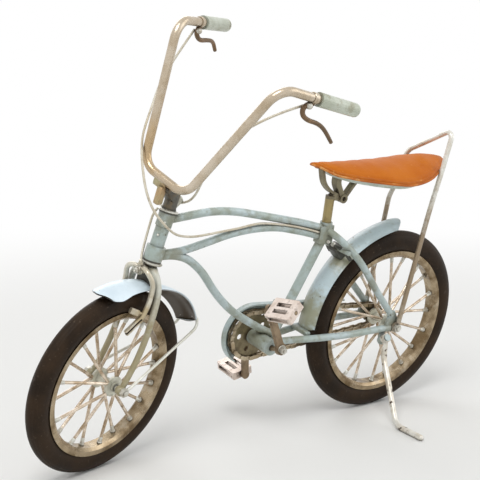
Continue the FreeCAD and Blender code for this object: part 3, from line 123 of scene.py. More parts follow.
def gridFaces(rows, columns, wrapRows=False, wrapColumns=True):
    # quads between neighbouring rows and columns of a grid of points
    i = np.arange(rows if wrapRows else rows - 1)[:, None]
    j = np.arange(columns if wrapColumns else columns - 1)[None, :]
    nextRow = (i + 1) % rows
    nextColumn = (j + 1) % columns
    corners = [i * columns + j, i * columns + nextColumn, nextRow * columns + nextColumn, nextRow * columns + j]
    return np.stack(np.broadcast_arrays(*corners), -1).reshape(-1, 4)


def closedGrid(grid, wrapRows=False):
    # a grid wrapped round its columns, each open end closed by a fan to its middle
    rows, columns = grid.shape[:2]
    points = grid.reshape(-1, 3)
    faces = gridFaces(rows, columns, wrapRows).tolist()
    if not wrapRows:
        points = np.vstack([points, grid[0].mean(0), grid[-1].mean(0)])
        around = np.arange(columns)
        following = (around + 1) % columns
        first = np.stack([following, around, np.full(columns, rows * columns)], 1)
        last = np.stack([around, following, np.full(columns, rows * columns + 1)], 1)
        last[:, :2] += (rows - 1) * columns
        faces += first.tolist() + last.tolist()
    return points, faces


def signedVolume(points, faces):
    # sum of the tetrahedra from the origin to each face, split into triangles
    triangles = np.array([(face[0], face[k], face[k + 1]) for face in faces for k in range(1, len(face) - 1)])
    a, b, c = points[triangles[:, 0]], points[triangles[:, 1]], points[triangles[:, 2]]
    return np.einsum("ij,ij->i", a, np.cross(b, c)).sum()


def outward(shape):
    points, faces = shape
    middle = points.mean(0)
    if signedVolume(points - middle, faces) < 0:
        faces = [face[::-1] for face in faces]
    return points, faces


def joined(shapes):
    # several shapes as one list of points and faces
    allPoints, allFaces, count = [], [], 0
    for points, faces in shapes:
        allPoints.append(points)
        allFaces += [[index + count for index in face] for face in faces]
        count += len(points)
    return np.vstack(allPoints), allFaces


def stamped(shape, turns, places):
    # one shape set down at many places, each with its own turn
    points, faces = shape
    moved = np.einsum("kij,pj->kpi", turns, points) + np.asarray(places)[:, None, :]
    faceArray = [np.array(face) for face in faces]
    copies = [(face + k * len(points)).tolist() for k in range(len(turns)) for face in faceArray]
    return moved.reshape(-1, 3), copies


def axisTurns(ways):
    # turns that take the Z axis to each way
    ways = unitRows(np.asarray(ways, float))
    helper = np.where(np.abs(ways[:, :1]) < 0.8, [[1.0, 0, 0]], [[0, 1.0, 0]])
    side = unitRows(np.cross(helper, ways))
    return np.stack([side, np.cross(ways, side), ways], 2)


def turned(profile, segments=24):
    # a profile of (radius, height) carried round Z
    profile = np.asarray(profile, float)
    angle = fullTurn(segments)
    ring = np.stack([np.cos(angle), np.sin(angle)], 1)
    flat = profile[:, None, :1] * ring[None]
    height = np.broadcast_to(profile[:, None, 1:], (len(profile), segments, 1))
    return outward(closedGrid(np.concatenate([flat, height], 2)))


def smoothLine(points, steps=8):
    # quadratic B-spline over the route's points, its ends held
    points = np.asarray(points, float)
    points = np.vstack([points[0], points, points[-1]])
    a, b, c = points[:-2], points[1:-1], points[2:]
    t = np.linspace(0, 1, steps, endpoint=False)[None, :, None]
    line = 0.5 * ((1 - t) ** 2 * a[:, None] + (1 + 2 * t - 2 * t * t) * b[:, None] + t * t * c[:, None])
    ends = (points[-2] + points[-1]) / 2
    return np.vstack([line.reshape(-1, 3)[1:], ends])


def pathFrames(line):
    # side and lift directions carried along a line with the least twist
    way = unitRows(np.gradient(line, axis=0))
    side = np.cross(way[0], [0.31, 0.2, 0.93])
    sides = []
    for tangent in way:
        side = unitVector(side - tangent * np.dot(side, tangent))
        sides.append(side)
    sides = np.array(sides)
    return sides, np.cross(way, sides)


def tubeAlong(line, radius, segments=14):
    # a circle of the given radius carried along the line
    side, lift = pathFrames(line)
    angle = fullTurn(segments)
    radius = np.broadcast_to(radius, len(line))[:, None, None]
    ring = side[:, None] * np.cos(angle)[None, :, None] + lift[:, None] * np.sin(angle)[None, :, None]
    return outward(closedGrid(line[:, None] + ring * radius))


def smoothTable(table, at):
    # a table's columns read at values of its first, along cubic curves with shared slopes
    table = np.asarray(table, float)
    x, y = table[:, 0], table[:, 1:]
    slope = np.gradient(y, x, axis=0)
    flat = np.clip(np.ravel(at), x[0], x[-1])
    k = np.clip(np.searchsorted(x, flat, side="right") - 1, 0, len(x) - 2)
    step = (x[k + 1] - x[k])[:, None]
    t = (flat - x[k])[:, None] / step
    rise = (1 + 2 * t) * (1 - t) ** 2 * y[k] + t * t * (3 - 2 * t) * y[k + 1]
    bend = t * (1 - t) ** 2 * step * slope[k] - t * t * (1 - t) * step * slope[k + 1]
    return (rise + bend).reshape(np.shape(at) + (y.shape[1],))


def nurbsLine(points, steps=10):
    # points read from a smooth spline that has the route's points as its control points
    curve = bpy.data.curves.new("route", "CURVE")
    curve.dimensions = "3D"
    curve.resolution_u = steps
    spline = curve.splines.new("NURBS")
    spline.points.add(len(points) - 1)
    spline.points.foreach_set("co", np.hstack([points, np.ones((len(points), 1))]).ravel())
    spline.order_u = 3
    spline.use_endpoint_u = True
    holder = bpy.data.objects.new("route", curve)
    mesh = bpy.data.meshes.new_from_object(holder)
    line = np.empty(len(mesh.vertices) * 3)
    mesh.vertices.foreach_get("co", line)
    bpy.data.objects.remove(holder)
    bpy.data.curves.remove(curve)
    bpy.data.meshes.remove(mesh)
    return line.reshape(-1, 3)


def loopTube(line, radius, segments=12):
    # a circle carried round a closed, nearly level line
    way = np.roll(line, -1, 0) - np.roll(line, 1, 0)
    side = unitRows(np.cross(way, [0, 0, 1.0]))
    lift = unitRows(np.cross(side, way))
    angle = fullTurn(segments)[None, :, None]
    ring = side[:, None] * np.cos(angle) + lift[:, None] * np.sin(angle)
    return outward(closedGrid(line[:, None] + ring * radius, True))


def lengthOf(line):
    return float(np.linalg.norm(np.diff(line, axis=0), axis=1).sum())


def makePiece(name, shape, materialName, body, angle=None):
    # a smooth mesh, sharp where its faces meet at more than the angle in degrees
    points, faces = shape
    mesh = bpy.data.meshes.new(name)
    mesh.from_pydata(points.tolist(), [], faces)
    mesh.update()
    mesh.polygons.foreach_set("use_smooth", np.full(len(mesh.polygons), True))
    piece = bpy.data.objects.new(name, mesh)
    bpy.context.scene.collection.objects.link(piece)
    if angle is not None:
        mesh.set_sharp_from_angle(angle=np.radians(angle))
    mesh.materials.append(materials[materialName])
    if body:
        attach(piece, body)
    return piece


def addShares(piece, name, shares):
    # a value for each point of the mesh, which its material reads
    piece.data.attributes.new(name, "FLOAT", "POINT").data.foreach_set("value", shares.astype(np.float32))


# Materials

def linear(red, green, blue):
    # a colour of 0 to 255 as the shader's own light values
    share = np.array([red, green, blue]) / 255
    value = np.where(share <= 0.04045, share / 12.92, ((share + 0.055) / 1.055) ** 2.4)
    return (*value.tolist(), 1.0)


def setInput(tree, socket, value):
    # another node's output is linked, a plain value is set
    if isinstance(value, bpy.types.NodeSocket):
        tree.links.new(value, socket)
    else:
        socket.default_value = value


def addNode(tree, kind, **settings):
    # in_Name goes to the input called Name, anything else is a setting of the node
    node = tree.nodes.new(kind)
    for key, value in settings.items():
        if key.startswith("in_"):
            setInput(tree, node.inputs[key[3:].replace("_", " ")], value)
        else:
            setattr(node, key, value)
    return node


def mathNode(tree, operation, *values, clamp=False):
    node = addNode(tree, "ShaderNodeMath", operation=operation, use_clamp=clamp)
    for socket, value in zip(node.inputs, values):
        setInput(tree, socket, value)
    return node.outputs[0]


def smoothStep(tree, value, low, high):
    # 0 at the low value, 1 at the high one, eased between them
    span = addNode(tree, "ShaderNodeMapRange", interpolation_type="SMOOTHSTEP", in_Value=value)
    setInput(tree, span.inputs["From Min"], low)
    setInput(tree, span.inputs["From Max"], high)
    return span.outputs[0]


def mixColour(tree, mask, under, over, amount=None):
    # one colour laid over another where the mask says, at full strength or a share of it
    if amount is not None:
        mask = mathNode(tree, "MULTIPLY", mask, amount)
    node = addNode(tree, "ShaderNodeMix", data_type="RGBA")
    for index, value in ((0, mask), (6, under), (7, over)):
        setInput(tree, node.inputs[index], value)
    return node.outputs[2]


def seenDirectly(tree):
    # 1 for rays from the camera, a mirror or glass, 0 for the light that falls on things
    rays = tree.nodes.new("ShaderNodeLightPath").outputs
    seen = mathNode(tree, "MAXIMUM", rays["Is Camera Ray"], rays["Is Glossy Ray"])
    return mathNode(tree, "MAXIMUM", seen, rays["Is Transmission Ray"])


def newGroup(name, output, inputs):
    # a group with a vector input, further inputs (a vector where no number is given) and one output
    group = bpy.data.node_groups.new(name, "ShaderNodeTree")
    for label, value in {"Vector": None, **inputs}.items():
        kind = "NodeSocketVector" if value is None else "NodeSocketFloat"
        socket = group.interface.new_socket(label, in_out="INPUT", socket_type=kind)
        if value is not None:
            socket.default_value = value
    group.interface.new_socket(output, in_out="OUTPUT", socket_type="NodeSocketFloat")
    return group, group.nodes.new("NodeGroupInput").outputs, group.nodes.new("NodeGroupOutput").inputs[0]


def noiseIn(group, given, **settings):
    return addNode(group, "ShaderNodeTexNoise", in_Vector=given["Vector"], **settings).outputs["Fac"]


def patchGroup():
    # clouds of noise cut at a level: worn, dirty or chipped patches
    inputs = {"Scale": 300.0, "Level": 0.6, "Softness": 0.05, "Detail": 6.0}
    group, given, result = newGroup("wornPatches", "Mask", inputs)
    noise = noiseIn(group, given, in_Roughness=0.6, in_Scale=given["Scale"], in_Detail=given["Detail"])
    low, high = (mathNode(group, way, given["Level"], given["Softness"]) for way in ("SUBTRACT", "ADD"))
    group.links.new(smoothStep(group, noise, low, high), result)
    return group


borderValues = {  # the widths are shares of the ball's reach
    "noise": {"in_Scale": 260.0, "in_Detail": 5.0, "in_Roughness": 0.65}, "ragged": 1.5, "outside": 1.1, "inside": 0.35,
}


def placeGroup(values):
    # a soft ball about a place, its border broken by noise: tarnish round a joint
    group, given, result = newGroup("nearPlace", "Mask", {"Place": None, "Reach": 0.01})
    away = addNode(group, "ShaderNodeVectorMath", operation="DISTANCE")
    group.links.new(given["Vector"], away.inputs[0])
    group.links.new(given["Place"], away.inputs[1])
    share = mathNode(group, "DIVIDE", away.outputs["Value"], given["Reach"])
    noise = noiseIn(group, given, **values["noise"])
    ragged = mathNode(group, "MULTIPLY_ADD", noise, values["ragged"], -values["ragged"] / 2)
    total = mathNode(group, "ADD", share, ragged)
    group.links.new(smoothStep(group, total, values["outside"], values["inside"]), result)
    return group


def surfaceGroup():
    # hand-made unevenness: broad dents and a fine grain as one height
    inputs = {"Broad": 120.0, "Fine": 1500.0, "Fine Share": 0.2}
    group, given, result = newGroup("handMadeHeight", "Height", inputs)
    broad = noiseIn(group, given, in_Scale=given["Broad"], in_Detail=3.0)
    fine = noiseIn(group, given, in_Scale=given["Fine"], in_Detail=2.0)
    group.links.new(mathNode(group, "MULTIPLY_ADD", fine, given["Fine Share"], broad), result)
    return group


patches = patchGroup()
nearPlace = placeGroup(borderValues)
handMade = surfaceGroup()


def useGroup(tree, group, vector, **values):
    node = addNode(tree, "ShaderNodeGroup", node_tree=group)
    for key, value in {"Vector": vector, **values}.items():
        setInput(tree, node.inputs[key.replace("_", " ")], value)
    return node.outputs[0]


def patchAt(tree, vector, scale, level, softness, detail=6.0):
    return useGroup(tree, patches, vector, Scale=scale, Level=level, Softness=softness, Detail=detail)


def surfaceAt(tree, vector, broad, fine, fineShare):
    return useGroup(tree, handMade, vector, Broad=broad, Fine=fine, Fine_Share=fineShare)


colourKeys = ("base", "cloud", "tarnish", "stain", "paintedShade", "chip", "hollowGrimeAndShade", "rimDarkening", "rubbed", "dust", "scuff")


def startMaterial(name, values):
    # the shader, and the values with their colours as light values
    values = {key: linear(*value) if key in colourKeys else value for key, value in values.items()}
    material = bpy.data.materials.new(name)
    material.use_nodes = True
    material.diffuse_color = values["base"]
    tree = material.node_tree
    shader = tree.nodes["Principled BSDF"]
    shader.inputs["Coat Roughness"].default_value = 0.3
    for key, label in (("metal", "Metallic"), ("specular", "Specular IOR Level"), ("coat", "Coat Weight")):
        shader.inputs[label].default_value = values.get(key, 0.0)
    return material, tree, shader, tree.nodes.new("ShaderNodeTexCoord").outputs["Object"], values


def endMaterial(tree, shader, values, colour, rough, height):
    bump = addNode(tree, "ShaderNodeBump", in_Strength=values["bump"], in_Distance=values["bumpDepth"])
    tree.links.new(height, bump.inputs["Height"])
    for label, value in (("Base Color", colour), ("Roughness", rough), ("Normal", bump.outputs[0])):
        setInput(tree, shader.inputs[label], value)


wearValues = {
    "cloudLevel": 0.5, "cloudSoftness": 0.16, "cloudDetail": 6.0, "stainSoftness": 0.08, "stainDetail": 6.0,
    "chipSoftness": 0.012, "chipDetail": 3.0,
    "paintedShadeReach": 0.0022, "paintedShadeSamples": 6, "stainRough": 0.18, "chipDepth": 0.25, "bumpDepth": 0.0006,
}


def wornMaterial(name, values):
    # base, clouds, tarnish round places, stains, grime with painted shade on a hollow side, painted shade in corners
    # and chips, laid in that order
    material, tree, shader, vector, values = startMaterial(name, {**wearValues, **values})

    cloud, stain, chip = (
        patchAt(tree, vector, *(values[kind + part] for part in ("Scale", "Level", "Softness", "Detail")))
        for kind in ("cloud", "stain", "chip")
    )
    colour = mixColour(tree, cloud, values["base"], values["cloud"])
    grime = None
    for place, reach in values.get("places", []):
        near = useGroup(tree, nearPlace, vector, Place=tuple(place), Reach=reach)
        grime = near if grime is None else mathNode(tree, "MAXIMUM", grime, near)
    if grime is not None:
        colour = mixColour(tree, grime, colour, values["tarnish"], values["placeAmount"])
    colour = mixColour(tree, stain, colour, values["stain"], values["stainAmount"])
    # the hollow side gets a dark colour: grime with painted shade under the guard
    if "hollowGrimeAndShade" in values:
        within = addNode(tree, "ShaderNodeAttribute", attribute_name="hollowGrimeAndShadeSide")
        colour = mixColour(tree, within.outputs["Fac"], colour, values["hollowGrimeAndShade"])
    # ambient occlusion darkens corners, gaps and recesses: painted shade
    corner = addNode(
        tree, "ShaderNodeAmbientOcclusion", samples=values["paintedShadeSamples"], in_Distance=values["paintedShadeReach"]
    )
    shut = mathNode(tree, "SUBTRACT", 1.0, corner.outputs["AO"], clamp=True)
    dark = mathNode(tree, "MULTIPLY", shut, values["paintedShadeAmount"], clamp=True)
    colour = mixColour(tree, dark, colour, values["paintedShade"])
    colour = mixColour(tree, chip, colour, values["chip"])
    rough = mathNode(tree, "MULTIPLY_ADD", stain, values["stainRough"], values["rough"])
    height = surfaceAt(tree, vector, values["broad"], values["fine"], values["fineShare"])
    lowered = mathNode(tree, "SUBTRACT", height, mathNode(tree, "MULTIPLY", chip, values["chipDepth"]))
    endMaterial(tree, shader, values, colour, rough, lowered)
    return material


# Paint and bare metal, then for each surface what differs from one of them. Colours run from 0 to 255.
paintValues = {
    "base": (182, 197, 199), "cloud": (160, 173, 166), "cloudScale": 80.0,
    "tarnish": (122, 117, 84), "placeAmount": 0.7,
    "stain": (138, 142, 124), "stainScale": 190.0, "stainLevel": 0.57, "stainAmount": 0.6,
    "paintedShade": (58, 56, 42), "paintedShadeAmount": 0.95,
    "chip": (80, 70, 58), "chipScale": 380.0, "chipLevel": 0.715,
    "rough": 0.34, "metal": 0.0, "specular": 0.5, "coat": 0.3,
    "broad": 160.0, "fine": 1300.0, "fineShare": 0.25, "bump": 0.35,
}
silverValues = {
    "base": (208, 198, 182), "cloud": (188, 174, 152), "cloudScale": 90.0,
    "placeAmount": 0.75,
    "stain": (154, 136, 110), "stainScale": 260.0, "stainLevel": 0.61, "stainAmount": 0.45,
    "paintedShade": (66, 54, 40), "paintedShadeAmount": 0.9,
    "chip": (92, 78, 62), "chipScale": 420.0, "chipLevel": 0.76,
    "rough": 0.30, "metal": 0.55, "specular": 0.5,
    "broad": 140.0, "fine": 1500.0, "fineShare": 0.3, "bump": 0.35,
}
print("built the shader groups")


def placesOn(placing, rows):
    # tarnished places: where they are and how far they reach, both in mm of the drawing
    return [(placing(row[:3]), row[3] * mm) for row in rows]


framePlaces = placesOn(onFrame, [
    (-34.6, 0, 101.0, 10), (58.3, 0, 118.0, 8), (60.5, 0, 101.0, 7), (-2.5, 0, 50.0, 12), (-83.2, 10, 50.0, 10),
    (-83.2, -10, 50.0, 10), (-42.0, 0, 92.0, 12), (-20.0, 0, 56.0, 12), (54.0, 0, 99.5, 6), (-60.0, 10, 76.0, 7),
    (16.0, 0, 60.0, 8),
])
forkPlaces = placesOn(onFork, [
    (76.0, 9.4, 58.0, 24), (76.0, -9.4, 58.0, 26), (83.2, 9.4, 42.0, 14), (83.2, -9.4, 42.0, 14),
])
finishes = {
    "framePaint": dict(paintValues, places=framePlaces),
    "forkPaint": dict(
        paintValues, base=(206, 207, 196), cloud=(184, 181, 164), stain=(164, 154, 126), places=forkPlaces,
        tarnish=(148, 136, 96), stainLevel=0.58, placeAmount=0.85,
    ),
    # front guard: the same blue paint made lighter, painted light where the guard catches the light
    "frontGuardLitPaint": dict(
        paintValues, base=(222, 237, 246), cloud=(208, 224, 234), stain=(184, 192, 190), stainLevel=0.68,
        # hollow colour: grime with painted shade on the guard's underside
        chipLevel=0.76, bump=0.2, paintedShadeAmount=0.5, hollowGrimeAndShade=(74, 62, 48),
    ),
    "rearGuardPaint": dict(
        paintValues, base=(196, 214, 221), cloud=(178, 194, 198), stainLevel=0.66,
        places=placesOn(onFrame, [(-46.0, 3, 90.0, 10), (-30.0, -1, 61.0, 15)]), tarnish=(140, 132, 84),
        # hollow colour: grime with painted shade on the guard's underside
        placeAmount=0.75, bump=0.2, hollowGrimeAndShade=(74, 64, 50),
    ),
    "gripPaint": dict(
        paintValues, base=(193, 199, 184), cloud=(174, 180, 162), cloudScale=140.0, stain=(146, 142, 116),
        stainLevel=0.58, coat=0.25,
    ),
    "barMetal": dict(
        silverValues, base=(204, 191, 172), cloud=(184, 167, 142), stain=(160, 138, 106),
        places=placesOn(onFork, [(62.5, -13.2, 146.0, 17)]), tarnish=(184, 154, 108), placeAmount=0.65, metal=0.6,
        rough=0.22,
    ),
    "backBarMetal": dict(
        silverValues, base=(232, 232, 226), cloud=(212, 206, 192), metal=0.35,
        places=placesOn(onFrame, [(-88.0, 12.0, 82.0, 46), (-88.0, -12.0, 82.0, 46)]), tarnish=(146, 126, 100),
        placeAmount=0.95,
    ),
    "wheelMetal": dict(
        silverValues, base=(238, 224, 206), cloud=(176, 154, 126), cloudScale=210.0, metal=0.65,
        stain=(150, 118, 84), stainLevel=0.60, chipScale=520.0, rough=0.24,
    ),
    "rimMetal": dict(
        silverValues, base=(176, 158, 130), cloud=(112, 92, 64), cloudScale=110.0, metal=0.8, rough=0.24,
        stain=(206, 194, 174), stainScale=150.0, stainLevel=0.60, bump=0.3,
    ),
    "hubMetal": dict(
        paintValues, base=(228, 228, 214), cloud=(204, 202, 186), cloudScale=200.0, paintedShadeAmount=0.6,
        stain=(122, 120, 98), metal=0.3,
    ),
    "standMetal": dict(
        silverValues, base=(232, 230, 222), cloud=(206, 196, 178), metal=0.3, rough=0.34, chip=(74, 58, 44),
        chipScale=260.0, chipLevel=0.64,
    ),
    "postMetal": dict(
        silverValues, base=(172, 152, 98), cloud=(150, 134, 92), stain=(116, 98, 62), metal=0.35, rough=0.40,
    ),
    "bracketMetal": dict(
        silverValues, base=(142, 134, 106), cloud=(112, 102, 80), stain=(166, 158, 128), metal=0.3, rough=0.44,
    ),
    "darkMetal": dict(
        silverValues, base=(88, 90, 84), cloud=(64, 62, 56), stain=(120, 112, 88), metal=0.4, rough=0.42,
    ),
    "stemMetal": dict(
        silverValues, base=(112, 110, 102), cloud=(84, 80, 72), stain=(134, 112, 78), stainLevel=0.58, metal=0.5,
        rough=0.36,
    ),
    "leverMetal": dict(
        silverValues, base=(126, 98, 70), cloud=(102, 82, 60), stain=(160, 130, 92), metal=0.4, rough=0.42,
    ),
    "pedalMetal": dict(
        silverValues, base=(230, 216, 206), cloud=(206, 188, 174), stain=(120, 100, 86), stainScale=420.0,
        # strong painted shade in the pedal's slots
        metal=0.45, paintedShade=(36, 28, 22), paintedShadeAmount=1.7,
    ),
    "crankMetal": dict(
        silverValues, base=(152, 132, 106), cloud=(124, 104, 80), stain=(92, 76, 58), stainLevel=0.56, metal=0.5,
    ),
    "ringwheelMetal": dict(
        silverValues, base=(142, 130, 98), cloud=(116, 104, 78), stain=(88, 76, 56), stainLevel=0.56, metal=0.45,
    ),
    "chainMetal": dict(
        silverValues, base=(206, 192, 166), cloud=(160, 140, 110), stain=(88, 72, 54), stainLevel=0.56,
    ),
    "cableSheath": dict(
        silverValues, base=(216, 210, 194), cloud=(190, 178, 154), stain=(150, 130, 98), metal=0.1, rough=0.42,
        bump=0.2,
    ),
    "cradleMetal": dict(
        silverValues, base=(176, 170, 134), cloud=(182, 152, 112), stain=(120, 116, 84), metal=0.3, rough=0.4,
    ),
    "stayMetal": dict(
        silverValues, base=(238, 238, 230), cloud=(218, 216, 204), metal=0.2, stain=(176, 160, 130),
        chip=(96, 80, 62),
    ),
    "caliperMetal": dict(
        silverValues, base=(216, 212, 198), cloud=(192, 182, 160), stain=(158, 138, 104), metal=0.4,
        places=placesOn(onFork, [(74.0, 8.2, 78.0, 6), (74.0, -8.2, 78.0, 6)]), tarnish=(176, 156, 112),
    ),
    "panPaint": dict(paintValues, base=(206, 216, 206), cloud=(184, 192, 180), paintedShadeAmount=0.6),
    "ringMetal": dict(silverValues, base=(226, 226, 218), cloud=(196, 192, 180), metal=0.5),
    "weltHide": dict(
        paintValues, base=(196, 112, 44), cloud=(168, 88, 30), stain=(228, 176, 112), chip=(150, 96, 50),
        paintedShade=(70, 34, 16), specular=0.2, coat=0.0, rough=0.5, bump=0.2,
    ),
}
materials = {name: wornMaterial(name, values) for name, values in finishes.items()}


rubberValues = {
    "base": (35, 26, 18), "cloud": (54, 41, 29), "specular": 0.12, "cloudRough": 0.14, "rough": 0.46,
    "cloudPatch": (70.0, 0.5, 0.2), "dustPatch": (900.0, 0.66, 0.05), "scuffPatch": (160.0, 0.68, 0.06),
    "dust": (112, 98, 82), "dustAmount": 0.35, "scuff": (104, 92, 84), "scuffAmount": 0.3,
    "surface": (220.0, 2200.0, 0.5), "bump": 0.3, "bumpDepth": 0.0004,
}


def tyreMaterial(values):
    material, tree, shader, vector, values = startMaterial("tyreRubber", values)
    cloud = patchAt(tree, vector, *values["cloudPatch"])
    colour = mixColour(tree, cloud, values["base"], values["cloud"])
    for kind in ("dust", "scuff"):
        mask = patchAt(tree, vector, *values[kind + "Patch"])
        colour = mixColour(tree, mask, colour, values[kind], values[kind + "Amount"])
    rough = mathNode(tree, "MULTIPLY_ADD", cloud, values["cloudRough"], values["rough"])
    endMaterial(tree, shader, values, colour, rough, surfaceAt(tree, vector, *values["surface"]))
    return material


hideValues = {
    "base": (198, 112, 28), "cloud": (188, 100, 22), "specular": 0.14, "rough": 0.46,
    "rimDarkening": (146, 74, 22), "rimDarkeningAmount": 0.75, "rubbed": (228, 172, 104), "rubbedAtRim": 0.75,
    "rubbedAnywhere": 0.12, "cloudPatch": (60.0, 0.5, 0.22), "rimDarkeningPatch": (240.0, 0.47, 0.15),
    "rubbedPatch": (420.0, 0.66, 0.03), "grainScale": 900.0, "grainShare": 0.25, "surface": (90.0, 700.0, 0.3),
    "bump": 0.35, "bumpDepth": 0.0005,
}


def saddleMaterial(values):
    # tan leather: mottled base, a fine pebble grain, darker over the rim and the underside, and pale rubbed edges
    material, tree, shader, vector, values = startMaterial("saddleHide", values)
    cloud, rimDarkening, rubbed = (patchAt(tree, vector, *values[kind + "Patch"]) for kind in ("cloud", "rimDarkening", "rubbed"))
    colour = mixColour(tree, cloud, values["base"], values["cloud"])
    rim = addNode(tree, "ShaderNodeAttribute", attribute_name="rimShare").outputs["Fac"]
    edge = mathNode(tree, "MULTIPLY", rim, mathNode(tree, "MULTIPLY_ADD", rimDarkening, 0.5, 0.5), clamp=True)
    colour = mixColour(tree, edge, colour, values["rimDarkening"], values["rimDarkeningAmount"])
    where = mathNode(tree, "MULTIPLY_ADD", rim, values["rubbedAtRim"], values["rubbedAnywhere"])
    colour = mixColour(tree, mathNode(tree, "MULTIPLY", rubbed, where, clamp=True), colour, values["rubbed"])
    grain = addNode(tree, "ShaderNodeTexVoronoi", in_Scale=values["grainScale"], in_Vector=vector)
    broad = surfaceAt(tree, vector, *values["surface"])
    height = mathNode(tree, "MULTIPLY_ADD", grain.outputs["Distance"], values["grainShare"], broad)
    endMaterial(tree, shader, values, colour, values["rough"], height)
    return material


materials["tyreRubber"] = tyreMaterial(rubberValues)
materials["saddleHide"] = saddleMaterial(hideValues)
print("built the materials")

nodeFinish = {  # the nodes that no piece below replaces
    "framePaint": [
        "top_tube", "cantilever_tube", "down_tube", "seat_tube", "seat_cluster", "head_tube", "bottom_bracket",
        "left_chain_stay", "left_seat_stay", "right_chain_stay", "right_seat_stay", "guard_bridge", "chain_guard",
        "stand_bracket",
    ],
    "gripPaint": ["left_grip", "right_grip"],
    "barMetal": ["handlebar"],
    "backBarMetal": ["back_bar"],
    "wheelMetal": ["front_spokes", "rear_spokes"],
    "rimMetal": ["front_rim", "rear_rim"],
    "hubMetal": ["front_hub", "rear_hub"],
    "standMetal": ["side_stand"],
    "postMetal": ["seat_post"],
    "bracketMetal": ["saddle_bracket"],
    "pedalMetal": ["left_pedal", "right_pedal"],
    "crankMetal": ["left_crank", "right_crank"],
    "ringwheelMetal": ["chainwheel", "rear_sprocket"],
    "chainMetal": ["chain"],
    "ringMetal": ["front_axle", "rear_axle"],
}
for materialName, names in nodeFinish.items():
    for name in names:
        nodes[name].data.materials.clear()
        nodes[name].data.materials.append(materials[materialName])
print("dressed the solid parts")

# Tyres: an upright ellipse with two shallow grooves each side, cut off at the rim and carried round the wheel.
tyreValues = {
    "front": {"height": 9.1, "width": 8.8, "place": onFork},
    "rear": {"height": 10.2, "width": 9.6, "place": onFrame},
    "rimWall": 1.5, "grooveDepth": 0.16, "grooveAngles": (28.0, 46.0), "grooveWidth": 4.0, "steps": 240, "points": 72,
}


def tyreShape(end):
    values = tyreValues[end]
    halfWidth = values["width"] / 2
    beadShare = 1 - tyreValues["rimWall"] / halfWidth
    halfHeight = values["height"] / (1 + np.sqrt(1 - beadShare ** 2))
    bead = np.arcsin(beadShare)
    turn = np.linspace(-np.pi + bead, np.pi - bead, tyreValues["points"])  # 0 at the tread, both ends at the rim
    away = np.degrees(np.abs(turn))
    dent = sum(np.exp(-((away - angle) / tyreValues["grooveWidth"]) ** 2) for angle in tyreValues["grooveAngles"])
    shrink = 1 - tyreValues["grooveDepth"] * dent / halfHeight
    radial = drawing[end + "Radius"] - halfHeight + halfHeight * np.cos(turn) * shrink
    side = halfWidth * np.sin(turn) * shrink
    angle = fullTurn(tyreValues["steps"])[:, None]
    grid = gridOf(radial * np.cos(angle), side, radial * np.sin(angle))
    return outward(placed(values["place"], closedGrid(grid + drawing[end + "Centre"], True)))


for end in ("front", "rear"):
    tyrePiece = makePiece(end + "TyreTread", tyreShape(end), "tyreRubber", end + "_wheel")
    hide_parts(end + "_tyre")
print("made the tyres")

# Saddle: at each station an arch between its two edges, with a rolled lip, a groove inside it and a belly
# below. The welt runs round the edge. The tray under it follows the edge and is deepest in the middle.
saddleValues = {
    "nose": -19.5, "length": 90.0, "halfWidth": 20.0, "waistHeight": 131.03, "depth": 9.8, "belly": 0.12,
    "lip": 0.55, "lipPlace": 1.1, "groove": 0.4, "groovePlace": 3.0, "rollWidth": 0.8, "rollRoom": 9.0,
    "wave": 0.10, "waveTurns": 0.55, "waveStart": 1.0, "waveAcross": 5.0, "waveRoom": 6.0, "rimReach": 2.4,
    "rows": 110, "columns": 65, "weltRadius": 0.62, "weltInset": 0.25, "weltSteps": 90,
    "table": [  # shares of the length, of the half width, and of the depth at the edge and at the crown
        (0.005, 0.035, 0.80, 0.89), (0.050, 0.14, 0.68, 0.90), (0.100, 0.33, 0.46, 0.87), (0.205, 0.55, 0.27, 0.83),
        (0.360, 0.775, 0.11, 0.81), (0.450, 0.92, 0.05, 0.80), (0.560, 1.0, 0.0, 0.81), (0.650, 0.985, 0.09, 0.87),
        (0.740, 0.88, 0.25, 0.94), (0.805, 0.73, 0.39, 0.98), (0.870, 0.54, 0.49, 0.99), (0.940, 0.33, 0.56, 0.93),
        (0.985, 0.15, 0.60, 0.80), (0.998, 0.05, 0.62, 0.70),
    ],
}
trayValues = {
    "reach": (0.12, 0.93), "widthShare": 0.93, "rise": 0.1, "drop": 3.3, "thickness": 0.5, "endPower": 0.35,
    "floorPower": 8, "rows": 60, "columns": 33,
}


def saddleStations(values, along):
    # x, half width, edge height and crown height in mm at shares of the length, each as a column
    half, edge, crown = smoothTable(values["table"], along).T[:, :, None]
    x = values["nose"] - values["length"] * along[:, None]
    return x, half * values["halfWidth"], edge * values["depth"], crown * values["depth"]


def easedSpan(count):
    # from -1 to 1, closer together towards the ends
    return np.sin(np.linspace(-np.pi / 2, np.pi / 2, count))[None, :]


